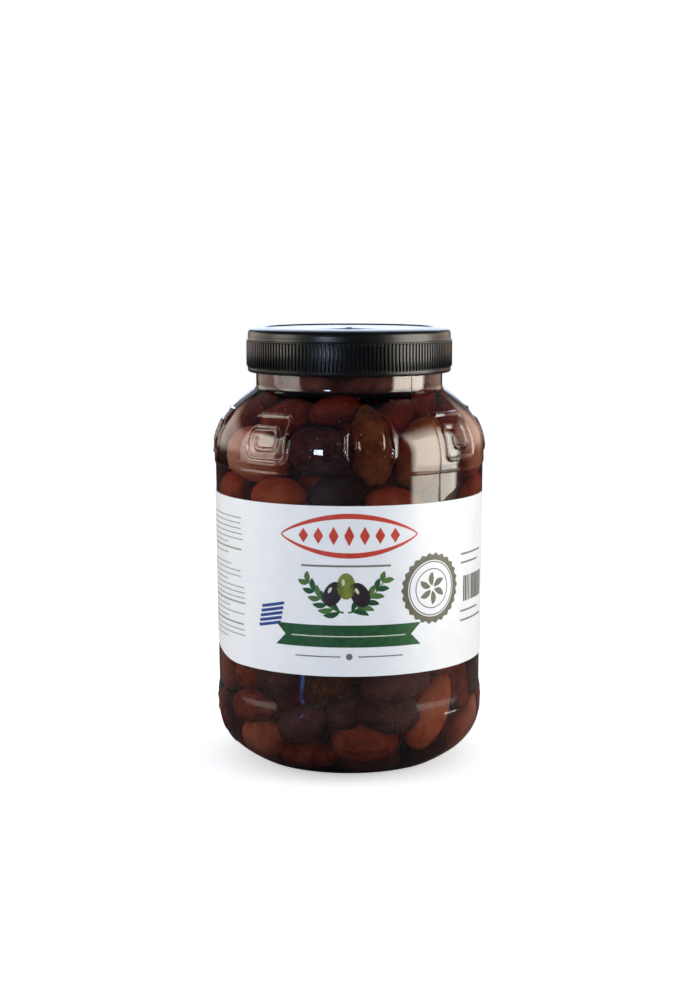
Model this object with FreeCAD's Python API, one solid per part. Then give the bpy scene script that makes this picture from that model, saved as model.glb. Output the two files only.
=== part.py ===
"""Wide-mouth plastic jar of olives with a black ribbed screw cap and a wrap-round paper label.

Frame: millimetres, +Z up, origin at the centre of the ring the jar stands on.
The front of the label faces -Y and +X is to the right of someone who reads it.
"""
import FreeCAD, Part
import math
import os
from FreeCAD import Vector

# ---------------------------------------------------------------- driving dimensions

# jar: radii of its outside
BODY_RADIUS = 64.5            # belt round the shoulder, the widest place
NECK_RADIUS = 44.5            # plain neck between the shoulder and the cap
STANDING_RADIUS = 42.0        # outside of the flat ring that the jar stands on
PANEL_RECESS = 0.5            # how far the top of the label panel lies inside the belt
PANEL_TAPER = 0.9             # how far the panel draws in from its top to its foot
FOOT_RELIEF = 0.7             # how far the foot band lies inside the belt
WALL = 1.2                    # wall of the jar

# jar: heights, one above the other from the floor to the lip
HEEL_HEIGHT = 28.5            # rounded heel
FOOT_BAND_HEIGHT = 3.5        # upright band above the heel
FOOT_BLEND_HEIGHT = 5.5       # soft hollow up to the label panel
PANEL_HEIGHT = 105.3          # label panel
BELT_STEP_HEIGHT = 0.8        # sharp step out to the belt
BELT_HEIGHT = 6.4             # upright belt
SHOULDER_HEIGHT = 29.8        # rounded shoulder up to the foot of the neck
NECK_HEIGHT = 24.8            # neck and its finish up to the lip

# jar: curves
RING_FLAT = 1.6               # flat face of the standing ring, inwards from its radius
RING_FILLET = 5.0             # rounding outside that flat
HEEL_ANGLE = 27.0             # degrees that the heel rises at, where it leaves the ring
HEEL_LOW_PULL = 15.9          # how far the curve runs on along the ring's tangent
HEEL_HIGH_PULL = 13.6         # how far it runs on below the foot band
BASE_DOME = 6.0               # rise of the base's centre above the floor
SHOULDER_SLOPE = 36.5         # degrees that the shoulder falls at, where it leaves the neck
SHOULDER_LOW_PULL = 11.5      # how far the curve runs on above the belt
SHOULDER_HIGH_PULL = 14.5     # how far it runs on along the slope
NECK_FILLET = 2.2             # hollow fillet where the neck meets the shoulder

# jar: screw finish, out of sight under the cap
THREAD_DEPTH = 2.1            # plain band that stands for the thread's turns
THREAD_LENGTH = 11.5          # height of that band
THREAD_DROP = 3.6             # from the lip down to the band
THREAD_CHAMFER = 1.4          # sloped ends of the band

# key-fret ridges, one row round the shoulder and one round the heel
FRET_COUNT = 8                # frets in a row
FRET_TURN = 8.5               # degrees that the row is turned from the front
FRET_WIDTH = 22.0             # between the centre lines of the outer legs
FRET_HEIGHT = 20.0            # between the centre lines of the top and bottom legs
FRET_PITCH = 5.2              # from one turn of the fret to the next
FRET_LEGS = 8                 # straight legs in one fret
RIDGE_WIDTH = 1.8             # width of a ridge
RIDGE_RISE = 0.6              # how far a ridge stands off the wall
RIDGE_ROOT = 0.3              # how far it runs into the wall
SHOULDER_FRET_RISE = 4.9      # lowest leg of the upper row above the foot of the belt
HEEL_FRET_DROP = 3.2          # highest leg of the lower row below the top of the foot band

# screw cap
CAP_WALL = 1.5                # skirt between its bore and the roots of the ribs
CAP_PLATE = 1.8               # top plate
CAP_RIM_RISE = 0.6            # raised rim round the top plate
CAP_RIM_WIDTH = 1.1           # width of that rim
CAP_SHOULDER_SPREAD = 6.6     # rounded shoulder, measured outwards from the rim
CAP_SHOULDER_FALL = 5.0       # and downwards
CAP_SHOULDER_SAG = 0.9        # fall of the shoulder just outside the rim
CAP_LEDGE = 0.7               # ledge between the shoulder and the tips of the ribs
CAP_SKIRT_HEIGHT = 15.4       # skirt from that ledge to its lower edge
CAP_FOOT_HEIGHT = 2.3         # plain band below the ribs
CAP_EDGE_CHAMFER = 0.6        # slope at the lower edge
RIB_COUNT = 164               # grip ribs round the skirt
RIB_RISE = 0.65               # from root to tip
RIB_TIP_SHARE = 0.36          # share of the pitch that the flat tip takes
RIB_TOP_GAP = 0.5             # plain strip between the ledge and the ribs

# label, contents and the fits between the pieces
LABEL_THICKNESS = 0.25        # paper and glue
LABEL_RISE = 13.9             # bare panel left below the label
LABEL_DROP = 13.3             # bare panel left above it
LABEL_GAP = 0.03              # between the label and the panel
THREAD_CLEARANCE = 0.35       # between the screw finish and the cap's bore
CAP_SEAT_GAP = 0.04           # between the lip and the cap's plate
CONTENTS_GAP = 0.04           # between the contents and the wall
HEADSPACE = 3.0               # from the top of the contents to the lip

# ---------------------------------------------------------------- places that follow

FOOT_RADIUS = BODY_RADIUS - FOOT_RELIEF
PANEL_TOP_RADIUS = BODY_RADIUS - PANEL_RECESS
PANEL_FOOT_RADIUS = PANEL_TOP_RADIUS - PANEL_TAPER
THREAD_RADIUS = NECK_RADIUS + THREAD_DEPTH
CAP_BORE_RADIUS = THREAD_RADIUS + THREAD_CLEARANCE
RIB_ROOT_RADIUS = CAP_BORE_RADIUS + CAP_WALL
RIB_TIP_RADIUS = RIB_ROOT_RADIUS + RIB_RISE
CAP_SHOULDER_RADIUS = RIB_TIP_RADIUS - CAP_LEDGE
CAP_RIM_RADIUS = CAP_SHOULDER_RADIUS - CAP_SHOULDER_SPREAD

FOOT_BAND_Z = HEEL_HEIGHT + FOOT_BAND_HEIGHT
PANEL_FOOT_Z = FOOT_BAND_Z + FOOT_BLEND_HEIGHT
PANEL_TOP_Z = PANEL_FOOT_Z + PANEL_HEIGHT
BELT_FOOT_Z = PANEL_TOP_Z + BELT_STEP_HEIGHT
BELT_TOP_Z = BELT_FOOT_Z + BELT_HEIGHT
NECK_FOOT_Z = BELT_TOP_Z + SHOULDER_HEIGHT
LIP_Z = NECK_FOOT_Z + NECK_HEIGHT
CAP_PLATE_Z = LIP_Z + CAP_SEAT_GAP
CAP_TOP_Z = CAP_PLATE_Z + CAP_PLATE


def at(radius, z):
    """Point of a half section, on the +X side of the axis."""
    return Vector(radius, 0, z)


def line(start, end):
    """Straight edge."""
    return Part.makeLine(start, end)


def bezier(*poles):
    """Bezier edge through its first and last pole, steered by those between."""
    curve = Part.BezierCurve()
    curve.setPoles(list(poles))
    return curve.toShape()


def arc(centre, radius, start, end):
    """Arc in the section plane between two angles in degrees, measured from +X towards +Z."""
    def on_arc(angle):
        turn = math.radians(angle)
        return centre + Vector(radius * math.cos(turn), 0, radius * math.sin(turn))
    return Part.Arc(on_arc(start), on_arc((start + end) / 2), on_arc(end)).toShape()


def end_of(edge):
    """Last point of an edge."""
    return edge.valueAt(edge.LastParameter)


def revolve(edges):
    """Solid of revolution about Z from the edges of a closed half section."""
    face = Part.Face(Part.Wire(edges))
    solid = face.revolve(Vector(0, 0, 0), Vector(0, 0, 1), 360)
    return solid if solid.Volume > 0 else solid.reversed()


def one_solid(shape):
    """The single solid inside a boolean's compound, with split faces joined again."""
    solids = shape.removeSplitter().Solids
    if len(solids) != 1:
        raise ValueError("expected one solid, got %d" % len(solids))
    return solids[0]


# ---------------------------------------------------------------- jar

def heel_edges(inset):
    """Base dome, flat standing ring and rounded heel, moved in by inset."""
    flat_inner = STANDING_RADIUS - RING_FLAT
    dome = bezier(at(0, BASE_DOME + inset), at(flat_inner / 2, BASE_DOME + inset),
                  at(flat_inner - RING_FILLET, inset), at(flat_inner, inset))
    flat = line(at(flat_inner, inset), at(STANDING_RADIUS, inset))
    ring = arc(at(STANDING_RADIUS, RING_FILLET), RING_FILLET - inset, -90, HEEL_ANGLE - 90)
    start = end_of(ring)
    rise = math.radians(HEEL_ANGLE)
    tangent = Vector(math.cos(rise), 0, math.sin(rise))
    end = at(FOOT_RADIUS - inset, HEEL_HEIGHT)
    heel = bezier(start, start + tangent * HEEL_LOW_PULL, end - Vector(0, 0, HEEL_HIGH_PULL), end)
    return [dome, flat, ring, heel]


def side_edges(inset):
    """Foot band, hollow blend, label panel, sharp step and belt, moved in by inset."""
    foot = FOOT_RADIUS - inset
    panel_foot = PANEL_FOOT_RADIUS - inset
    panel_top = PANEL_TOP_RADIUS - inset
    belt = BODY_RADIUS - inset
    blend_mid = (FOOT_BAND_Z + PANEL_FOOT_Z) / 2
    step_mid = (PANEL_TOP_Z + BELT_FOOT_Z) / 2
    return [
        line(at(foot, HEEL_HEIGHT), at(foot, FOOT_BAND_Z)),
        bezier(at(foot, FOOT_BAND_Z), at(foot, blend_mid),
               at(panel_foot, blend_mid), at(panel_foot, PANEL_FOOT_Z)),
        line(at(panel_foot, PANEL_FOOT_Z), at(panel_top, PANEL_TOP_Z)),
        bezier(at(panel_top, PANEL_TOP_Z), at(panel_top, step_mid),
               at(belt, step_mid), at(belt, BELT_FOOT_Z)),
        line(at(belt, BELT_FOOT_Z), at(belt, BELT_TOP_Z)),
    ]


def shoulder_edges(inset):
    """Rounded shoulder and the hollow fillet at the foot of the neck, moved in by inset."""
    fillet_centre = at(NECK_RADIUS + NECK_FILLET, NECK_FOOT_Z)
    fillet = arc(fillet_centre, NECK_FILLET + inset, 270 - SHOULDER_SLOPE, 180)
    high = fillet.valueAt(fillet.FirstParameter)
    fall = math.radians(SHOULDER_SLOPE)
    tangent = Vector(math.cos(fall), 0, -math.sin(fall))
    low = at(BODY_RADIUS - inset, BELT_TOP_Z)
    shoulder = bezier(low, low + Vector(0, 0, SHOULDER_LOW_PULL), high + tangent * SHOULDER_HIGH_PULL, high)
    return [shoulder, fillet]


def bulk(inset, top_z):
    """Solid of the jar's outline moved in by inset, closed by a flat top at top_z."""
    neck = NECK_RADIUS - inset
    edges = heel_edges(inset) + side_edges(inset) + shoulder_edges(inset)
    edges.append(line(at(neck, NECK_FOOT_Z), at(neck, top_z)))
    edges.append(line(at(neck, top_z), at(0, top_z)))
    edges.append(line(at(0, top_z), at(0, BASE_DOME + inset)))
    return revolve(edges)


def screw_finish():
    """Band round the neck under the cap that stands for the turns of the thread."""
    top = LIP_Z - THREAD_DROP
    foot = top - THREAD_LENGTH
    root = NECK_RADIUS - WALL / 2
    corners = [at(root, foot), at(NECK_RADIUS, foot), at(THREAD_RADIUS, foot + THREAD_CHAMFER),
               at(THREAD_RADIUS, top - THREAD_CHAMFER), at(NECK_RADIUS, top), at(root, top)]
    return revolve([line(a, b) for a, b in zip(corners, corners[1:] + corners[:1])])


def fret_points():
    """Corners of one square spiral, from the outer top left corner to its inner end."""
    x, z = -FRET_WIDTH / 2, FRET_HEIGHT / 2
    points = [(x, z)]
    headings = [(1, 0), (0, -1), (-1, 0), (0, 1)]
    spans = [FRET_WIDTH, FRET_HEIGHT]
    for leg in range(FRET_LEGS):
        turns_in = max(0, (leg - 1) // 2)
        span = spans[leg % 2] - FRET_PITCH * turns_in
        heading = headings[leg % 4]
        x += heading[0] * span
        z += heading[1] * span
        points.append((x, z))
    return points


def fret_prism(centre_z):
    """Bar of the fret's outline that runs from the jar's axis out through its front."""
    reach = BODY_RADIUS + RIDGE_RISE + WALL
    half = RIDGE_WIDTH / 2
    points = fret_points()
    bars = []
    for (x0, z0), (x1, z1) in zip(points, points[1:]):
        low = Vector(min(x0, x1), -reach, centre_z + min(z0, z1))
        across = Vector(abs(x1 - x0), 0, abs(z1 - z0))
        if across.x > across.z:
            low.z -= half
            across.z = RIDGE_WIDTH
        else:
            low.x -= half
            across.x = RIDGE_WIDTH
        bars.append(Part.makeBox(across.x, reach, across.z, low))
    for x, z in points:
        bars.append(Part.makeCylinder(half, reach, Vector(x, -reach, centre_z + z), Vector(0, 1, 0)))
    return bars[0].multiFuse(bars[1:]).removeSplitter()


def frets():
    """All key-fret ridges: two rows of spirals that follow the shoulder and the heel."""
    skin = bulk(-RIDGE_RISE, NECK_FOOT_Z + NECK_FILLET).cut(bulk(RIDGE_ROOT, LIP_Z))
    ridges = []
    upper_z = BELT_FOOT_Z + SHOULDER_FRET_RISE + FRET_HEIGHT / 2
    lower_z = FOOT_BAND_Z - HEEL_FRET_DROP - FRET_HEIGHT / 2
    for centre_z in (upper_z, lower_z):
        ridge = skin.common(fret_prism(centre_z))
        for number in range(FRET_COUNT):
            copy = ridge.copy()
            copy.rotate(Vector(0, 0, 0), Vector(0, 0, 1), FRET_TURN + number * 360 / FRET_COUNT)
            ridges += copy.Solids
    return ridges


def jar():
    """Blown jar: a thin shell, open at the lip, with its screw finish and its fret ridges."""
    shell = bulk(0, LIP_Z).fuse(screw_finish()).cut(bulk(WALL, LIP_Z + WALL))
    return one_solid(shell.multiFuse(frets()))


# ---------------------------------------------------------------- cap

def cap_body():
    """Cap without ribs: recessed plate, raised rim, rounded shoulder, skirt and bore."""
    rim_z = CAP_TOP_Z + CAP_RIM_RISE
    ledge_z = CAP_TOP_Z - CAP_SHOULDER_FALL
    foot_z = ledge_z - CAP_SKIRT_HEIGHT
    rim_inner = CAP_RIM_RADIUS - CAP_RIM_WIDTH
    shoulder_start = at(CAP_RIM_RADIUS, rim_z)
    shoulder_end = at(CAP_SHOULDER_RADIUS, ledge_z)
    shoulder = bezier(shoulder_start, at(CAP_SHOULDER_RADIUS, rim_z - CAP_SHOULDER_SAG),
                      at(CAP_SHOULDER_RADIUS, rim_z - CAP_SHOULDER_SAG), shoulder_end)
    outline = [at(0, CAP_PLATE_Z), at(0, CAP_TOP_Z), at(rim_inner - CAP_RIM_RISE, CAP_TOP_Z),
               at(rim_inner, rim_z), shoulder_start]
    skirt = [shoulder_end, at(RIB_ROOT_RADIUS, ledge_z), at(RIB_ROOT_RADIUS, foot_z + CAP_EDGE_CHAMFER),
             at(RIB_ROOT_RADIUS - CAP_EDGE_CHAMFER, foot_z), at(CAP_BORE_RADIUS, foot_z),
             at(CAP_BORE_RADIUS, CAP_PLATE_Z), at(0, CAP_PLATE_Z)]
    edges = [line(a, b) for a, b in zip(outline, outline[1:])]
    edges.append(shoulder)
    edges += [line(a, b) for a, b in zip(skirt, skirt[1:])]
    return revolve(edges)


def rib_ring():
    """Ring of grip ribs: a toothed outline pulled up the skirt."""
    ledge_z = CAP_TOP_Z - CAP_SHOULDER_FALL
    foot_z = ledge_z - CAP_SKIRT_HEIGHT + CAP_FOOT_HEIGHT
    height = ledge_z - RIB_TOP_GAP - foot_z
    pitch = 2 * math.pi / RIB_COUNT
    corners = []
    for number in range(RIB_COUNT):
        for radius, share in ((RIB_ROOT_RADIUS, -0.5), (RIB_TIP_RADIUS, -RIB_TIP_SHARE / 2),
                              (RIB_TIP_RADIUS, RIB_TIP_SHARE / 2)):
            turn = (number + share) * pitch
            corners.append(Vector(radius * math.cos(turn), radius * math.sin(turn), foot_z))
    teeth = Part.Face(Part.makePolygon(corners + corners[:1])).extrude(Vector(0, 0, height))
    bore = Part.makeCylinder(RIB_ROOT_RADIUS - CAP_WALL / 2, height, Vector(0, 0, foot_z))
    return teeth.cut(bore)


def cap():
    """Screw cap with its ribs."""
    return one_solid(cap_body().fuse(rib_ring()))


# ---------------------------------------------------------------- label and contents

def label():
    """Paper sleeve round the panel, which it follows with an even gap."""
    low = PANEL_FOOT_Z + LABEL_RISE
    high = PANEL_TOP_Z - LABEL_DROP

    def panel_radius(z):
        """Radius of the jar's panel at a height."""
        return PANEL_FOOT_RADIUS + PANEL_TAPER * (z - PANEL_FOOT_Z) / PANEL_HEIGHT

    inner = LABEL_GAP
    outer = LABEL_GAP + LABEL_THICKNESS
    corners = [at(panel_radius(low) + inner, low), at(panel_radius(low) + outer, low),
               at(panel_radius(high) + outer, high), at(panel_radius(high) + inner, high)]
    return revolve([line(a, b) for a, b in zip(corners, corners[1:] + corners[:1])])


def contents():
    """Olives and brine together, out to the wall and up to just below the lip."""
    return bulk(WALL + CONTENTS_GAP, LIP_Z - HEADSPACE)


def main():
    """Write one STEP file for each piece."""
    os.makedirs("parts", exist_ok=True)
    pieces = {"jar": jar, "cap": cap, "label": label, "contents": contents}
    for name, build in pieces.items():
        shape = build()
        shape.exportStep("parts/%s.step" % name)
        box = shape.BoundBox
        print(name, "valid", shape.isValid(), "volume", round(shape.Volume, 1), "faces", len(shape.Faces),
              "z", round(box.ZMin, 2), round(box.ZMax, 2), "width", round(box.XLength, 2))


main()
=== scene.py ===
"""Looks of a wide-mouth plastic jar of olives: jar, brine, olives, screw cap and printed label.

Sizes are in millimetres until a mesh is made. Z is up, the label's front faces -Y, and an azimuth is
counted in degrees from the front, positive to the right of someone who reads the label.
"""
import logging
import math
from dataclasses import dataclass, field
from enum import Enum
from typing import Callable

import bpy
import numpy as np
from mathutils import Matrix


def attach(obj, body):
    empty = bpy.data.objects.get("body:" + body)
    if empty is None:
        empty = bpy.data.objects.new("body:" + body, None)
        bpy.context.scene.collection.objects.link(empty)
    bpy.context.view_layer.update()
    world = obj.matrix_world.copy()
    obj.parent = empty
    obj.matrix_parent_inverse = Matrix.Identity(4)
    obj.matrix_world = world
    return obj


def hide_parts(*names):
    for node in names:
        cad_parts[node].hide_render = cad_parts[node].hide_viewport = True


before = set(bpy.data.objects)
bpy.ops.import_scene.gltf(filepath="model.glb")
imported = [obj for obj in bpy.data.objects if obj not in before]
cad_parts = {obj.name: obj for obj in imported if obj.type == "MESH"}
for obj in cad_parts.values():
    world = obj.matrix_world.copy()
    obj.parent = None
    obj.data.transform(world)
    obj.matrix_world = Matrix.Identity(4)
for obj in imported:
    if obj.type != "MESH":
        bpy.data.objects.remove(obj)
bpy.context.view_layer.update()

log = logging.getLogger("olive_jar")
MM = 0.001
ROOT = "root"
SPACING_SAMPLES = 6000


# ------------------------------------------------------------------ small tools

def linear(code: str) -> tuple[float, float, float, float]:
    """Turn an sRGB hex colour into linear RGBA.

    Args:
        code: colour such as "#8a4436".

    Returns:
        Linear red, green and blue, and an alpha of 1.
    """
    parts = [int(code[i:i + 2], 16) / 255 for i in (1, 3, 5)]
    red, green, blue = (v / 12.92 if v <= 0.04045 else ((v + 0.055) / 1.055) ** 2.4 for v in parts)
    return red, green, blue, 1.0


def smooth(edge0: float, edge1: float, value: np.ndarray) -> np.ndarray:
    """Smooth step: 0 below edge0, 1 above edge1, 3t^2 - 2t^3 between them."""
    t = np.clip((value - edge0) / (edge1 - edge0), 0.0, 1.0)
    return t * t * (3.0 - 2.0 * t)


def bezier(poles: list[tuple[float, float]], count: int) -> np.ndarray:
    """Sample a cubic Bezier curve.

    Args:
        poles: its four poles.
        count: number of points, both ends included.

    Returns:
        Points, one a row: (1-t)^3 A + 3(1-t)^2 t B + 3(1-t) t^2 C + t^3 D.
    """
    t = np.linspace(0.0, 1.0, count)[:, None]
    a, b, c, d = (np.asarray(p, dtype=float) for p in poles)
    return (1 - t) ** 3 * a + 3 * (1 - t) ** 2 * t * b + 3 * (1 - t) * t ** 2 * c + t ** 3 * d


def arc(centre: tuple[float, float], radius: float, start: float, end: float, count: int) -> np.ndarray:
    """Points on a circle's arc, from one angle in degrees to another."""
    turn = np.radians(np.linspace(start, end, count))
    return np.stack([centre[0] + radius * np.cos(turn), centre[1] + radius * np.sin(turn)], axis=1)


def spaced(low: float, high: float, spacing: Callable[[np.ndarray], np.ndarray]) -> np.ndarray:
    """Stations between two ends whose distance follows a rule.

    The count of stations up to a place is the integral of 1 / spacing, so its inverse gives places
    that lie close where the rule asks for fine steps.

    Args:
        low: first station.
        high: last station.
        spacing: wanted step at each place.

    Returns:
        The stations in rising order.
    """
    fine = np.linspace(low, high, SPACING_SAMPLES)
    step = fine[1] - fine[0]
    density = 1.0 / spacing(fine)
    count = np.concatenate([[0.0], np.cumsum((density[1:] + density[:-1]) / 2 * step)])
    steps = max(2, int(round(count[-1])))
    return np.interp(np.linspace(0.0, count[-1], steps + 1), count, fine)


def add_node(tree: bpy.types.NodeTree, kind: str, inputs: dict | None = None,
             **settings: object) -> bpy.types.Node:
    """Add one shader node with its settings, values and links.

    Args:
        tree: node tree that gets the node.
        kind: the node's type, such as "ShaderNodeMix".
        inputs: socket name or number to a value, or to the socket that feeds it.
        **settings: attributes of the node.

    Returns:
        The new node.
    """
    node = tree.nodes.new(kind)
    for name, value in settings.items():
        setattr(node, name, value)
    for name, value in (inputs or {}).items():
        if isinstance(value, bpy.types.NodeSocket):
            tree.links.new(value, node.inputs[name])
        else:
            node.inputs[name].default_value = value
    return node


def ramp(tree: bpy.types.NodeTree, factor: bpy.types.NodeSocket,
         stops: list[tuple[float, tuple[float, float, float, float]]]) -> bpy.types.NodeSocket:
    """Colour ramp through the given stops.

    Args:
        tree: node tree that gets the ramp.
        factor: socket that drives it.
        stops: place and linear colour of each stop, in rising order.

    Returns:
        The ramp's colour socket.
    """
    node = add_node(tree, "ShaderNodeValToRGB", {"Fac": factor})
    elements = node.color_ramp.elements
    while len(elements) < len(stops):
        elements.new(0.5)
    for element, (place, colour) in zip(elements, stops):
        element.position = place
        element.color = colour
    return node.outputs["Color"]


@dataclass
class Shape:
    """Vertices, faces and vertex values that are gathered before they become one mesh."""

    points: list[np.ndarray] = field(default_factory=list)
    faces: list[np.ndarray] = field(default_factory=list)
    values: dict[str, list[np.ndarray]] = field(default_factory=dict)
    count: int = 0

    def add(self, points: np.ndarray, faces: list[np.ndarray], **values: np.ndarray) -> None:
        """Add a patch.

        Args:
            points: vertices in millimetres, one a row.
            faces: arrays of vertex numbers within the patch, one face a row.
            **values: one number for each vertex, by name.
        """
        self.points.append(points)
        self.faces += [part + self.count for part in faces if len(part)]
        for name, value in values.items():
            self.values.setdefault(name, []).append(np.broadcast_to(value, len(points)))
        self.count += len(points)

    def grid(self, points: np.ndarray, wrap: bool = False, poles: tuple | None = None,
             **values: np.ndarray) -> None:
        """Add a surface of two parameters given on a grid.

        Args:
            points: rows x columns x 3 array. Faces point along (next column) x (next row).
            wrap: join the last column to the first.
            poles: one point below the first row and one above the last, or None for an open edge.
            **values: rows x columns numbers by name, for the grid's own vertices.
        """
        rows, cols = points.shape[:2]
        row = np.arange(rows - 1)[:, None]
        col = np.arange(cols if wrap else cols - 1)[None, :]
        after = (col + 1) % cols
        quads = np.stack([row * cols + col, row * cols + after,
                          (row + 1) * cols + after, (row + 1) * cols + col], axis=-1).reshape(-1, 4)
        flat = points.reshape(-1, 3)
        fans = []
        flat_values = {name: np.broadcast_to(v, (rows, cols)).reshape(-1) for name, v in values.items()}
        if poles is not None:
            ring = np.arange(cols)
            last = (rows - 1) * cols
            low = np.stack([np.full(cols, rows * cols), (ring + 1) % cols, ring], axis=1)
            high = np.stack([np.full(cols, rows * cols + 1), last + ring, last + (ring + 1) % cols], axis=1)
            fans = [low, high]
            flat = np.concatenate([flat, np.asarray(poles, dtype=float)])
            flat_values = {name: np.concatenate([v, [v[:cols].mean(), v[-cols:].mean()]])
                           for name, v in flat_values.items()}
        self.add(flat, [quads] + fans, **flat_values)

    def to_object(self, name: str, sharp: float | None = None) -> bpy.types.Object:
        """Make the mesh object, in metres.

        Args:
            name: name of the piece.
            sharp: angle in degrees past which an edge shows as sharp, or None for all smooth.

        Returns:
            The object, linked to the scene, with its place in its mesh.
        """
        mesh = bpy.data.meshes.new(name)
        faces = [face for part in self.faces for face in part.tolist()]
        mesh.from_pydata((np.concatenate(self.points) * MM).tolist(), [], faces)
        for value_name, parts in self.values.items():
            attribute = mesh.attributes.new(value_name, "FLOAT", "POINT")
            attribute.data.foreach_set("value", np.concatenate(parts).astype(np.float32))
        mesh.shade_smooth()
        if sharp is not None:
            mesh.set_sharp_from_angle(angle=math.radians(sharp))
        mesh.validate()
        piece = bpy.data.objects.new(name, mesh)
        bpy.context.scene.collection.objects.link(piece)
        return piece


def place(piece: bpy.types.Object, material: bpy.types.Material, slot: str, *nodes: str) -> None:
    """Give a piece its material and body, and hide the CAD nodes that it stands for.

    Args:
        piece: the finished mesh object.
        material: its material.
        slot: material slot of the record; not used.
        *nodes: CAD nodes that it replaces.
    """
    piece.data.materials.append(material)
    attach(piece, ROOT)
    if nodes:
        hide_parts(*nodes)
    piece.data.calc_loop_triangles()
    log.info("%s: %d triangles", piece.name, len(piece.data.loop_triangles))


def turned(radius: np.ndarray, height: np.ndarray, azimuth: np.ndarray) -> np.ndarray:
    """Points of a surface of revolution.

    Args:
        radius: distance from the axis.
        height: height above the floor.
        azimuth: degrees from the front, which is -Y; it grows towards +X.

    Returns:
        Array with a last axis of 3: x = r sin(a), y = -r cos(a), z = h.
    """
    turn = np.radians(azimuth)
    radius, height, turn = np.broadcast_arrays(radius, height, turn)
    return np.stack([radius * np.sin(turn), -radius * np.cos(turn), height], axis=-1)


# ------------------------------------------------------------------ finishes

class Finish:
    """A material that is made once, on first use."""

    name: str

    def material(self) -> bpy.types.Material:
        """Find the material, or make it if it isn't there yet.

        Returns:
            The material.
        """
        found = bpy.data.materials.get(self.name)
        if found is not None:
            return found
        made = bpy.data.materials.new(self.name)
        made.use_nodes = True
        tree = made.node_tree
        self.dress(tree, tree.nodes["Principled BSDF"])
        return made

    def dress(self, tree: bpy.types.NodeTree, shader: bpy.types.Node) -> None:
        """Set the shader's sockets and add the nodes that feed it.

        Args:
            tree: the material's nodes.
            shader: its Principled shader.
        """
        raise NotImplementedError


@dataclass(frozen=True)
class BlownPolyester(Finish):
    """Clear stretch-blown PET: water-clear, high gloss, with a refractive index above glass."""

    name: str = "clear_blown_pet"
    tint: str = "#ffffff"
    ior: float = 1.5
    roughness: float = 0.02

    def dress(self, tree: bpy.types.NodeTree, shader: bpy.types.Node) -> None:
        """Plain values only: sharp reflections over colourless, see-through walls.

        Args:
            tree: the material's nodes.
            shader: its Principled shader.
        """
        shader.inputs["Base Color"].default_value = linear(self.tint)
        shader.inputs["Transmission Weight"].default_value = 1.0
        shader.inputs["IOR"].default_value = self.ior
        shader.inputs["Roughness"].default_value = self.roughness


@dataclass(frozen=True)
class OliveBrine(Finish):
    """Dark olive brine: salt water coloured by the fruit, brown and quick to go dark with depth."""

    name: str = "olive_brine"
    hue: str = "#dd9f7e"
    ior: float = 1.34
    density: float = 62.0

    def dress(self, tree: bpy.types.NodeTree, shader: bpy.types.Node) -> None:
        """Clear surface over a liquid that soaks up light, so gaps between the olives look deep.

        Args:
            tree: the material's nodes.
            shader: its Principled shader.
        """
        shader.inputs["Base Color"].default_value = (1.0, 1.0, 1.0, 1.0)
        shader.inputs["Transmission Weight"].default_value = 1.0
        shader.inputs["IOR"].default_value = self.ior
        shader.inputs["Roughness"].default_value = 0.0
        volume = add_node(tree, "ShaderNodeVolumeAbsorption",
                          {"Color": linear(self.hue), "Density": self.density})
        tree.links.new(volume.outputs["Volume"], tree.nodes["Material Output"].inputs["Volume"])


@dataclass(frozen=True)
class DeepBrine(Finish):
    """Painted shade for brine too deep for light to reach: brown near black, without gloss of its own."""

    name: str = "deep_brine"
    dark: str = "#160c09"
    light: str = "#24160f"
    # painted light: paler neck colours, where light reaches further into the shallow neck
    neck_dark: str = "#6a3c34"
    neck_light: str = "#b87868"
    neck_z: float = 182.0
    neck_fade: float = 6.0
    cloud_width: float = 14.0

    def dress(self, tree: bpy.types.NodeTree, shader: bpy.types.Node) -> None:
        """Clouds half an olive across, as of olives further in; paler and browner in the shallow neck, as
        painted light where more light gets in.

        Args:
            tree: the material's nodes.
            shader: its Principled shader.
        """
        where = add_node(tree, "ShaderNodeTexCoord").outputs["Object"]
        clouds = add_node(tree, "ShaderNodeTexNoise",
                          {"Vector": where, "Scale": 1 / (self.cloud_width * MM), "Detail": 3.0})
        deep = ramp(tree, clouds.outputs["Fac"], [(0.35, linear(self.dark)), (0.7, linear(self.light))])
        neck = ramp(tree, clouds.outputs["Fac"], [(0.35, linear(self.neck_dark)),
                                                  (0.65, linear(self.neck_light))])
        split = add_node(tree, "ShaderNodeSeparateXYZ", {"Vector": where})
        high = add_node(tree, "ShaderNodeMapRange",
                        {"Value": split.outputs["Z"], "From Min": (self.neck_z - self.neck_fade) * MM,
                         "From Max": self.neck_z * MM})
        shade = add_node(tree, "ShaderNodeMix", {"Factor": high.outputs["Result"], "A": deep, "B": neck},
                         data_type="RGBA")
        tree.links.new(shade.outputs["Result"], shader.inputs["Base Color"])
        shader.inputs["Roughness"].default_value = 0.9
        shader.inputs["Specular IOR Level"].default_value = 0.0


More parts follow.
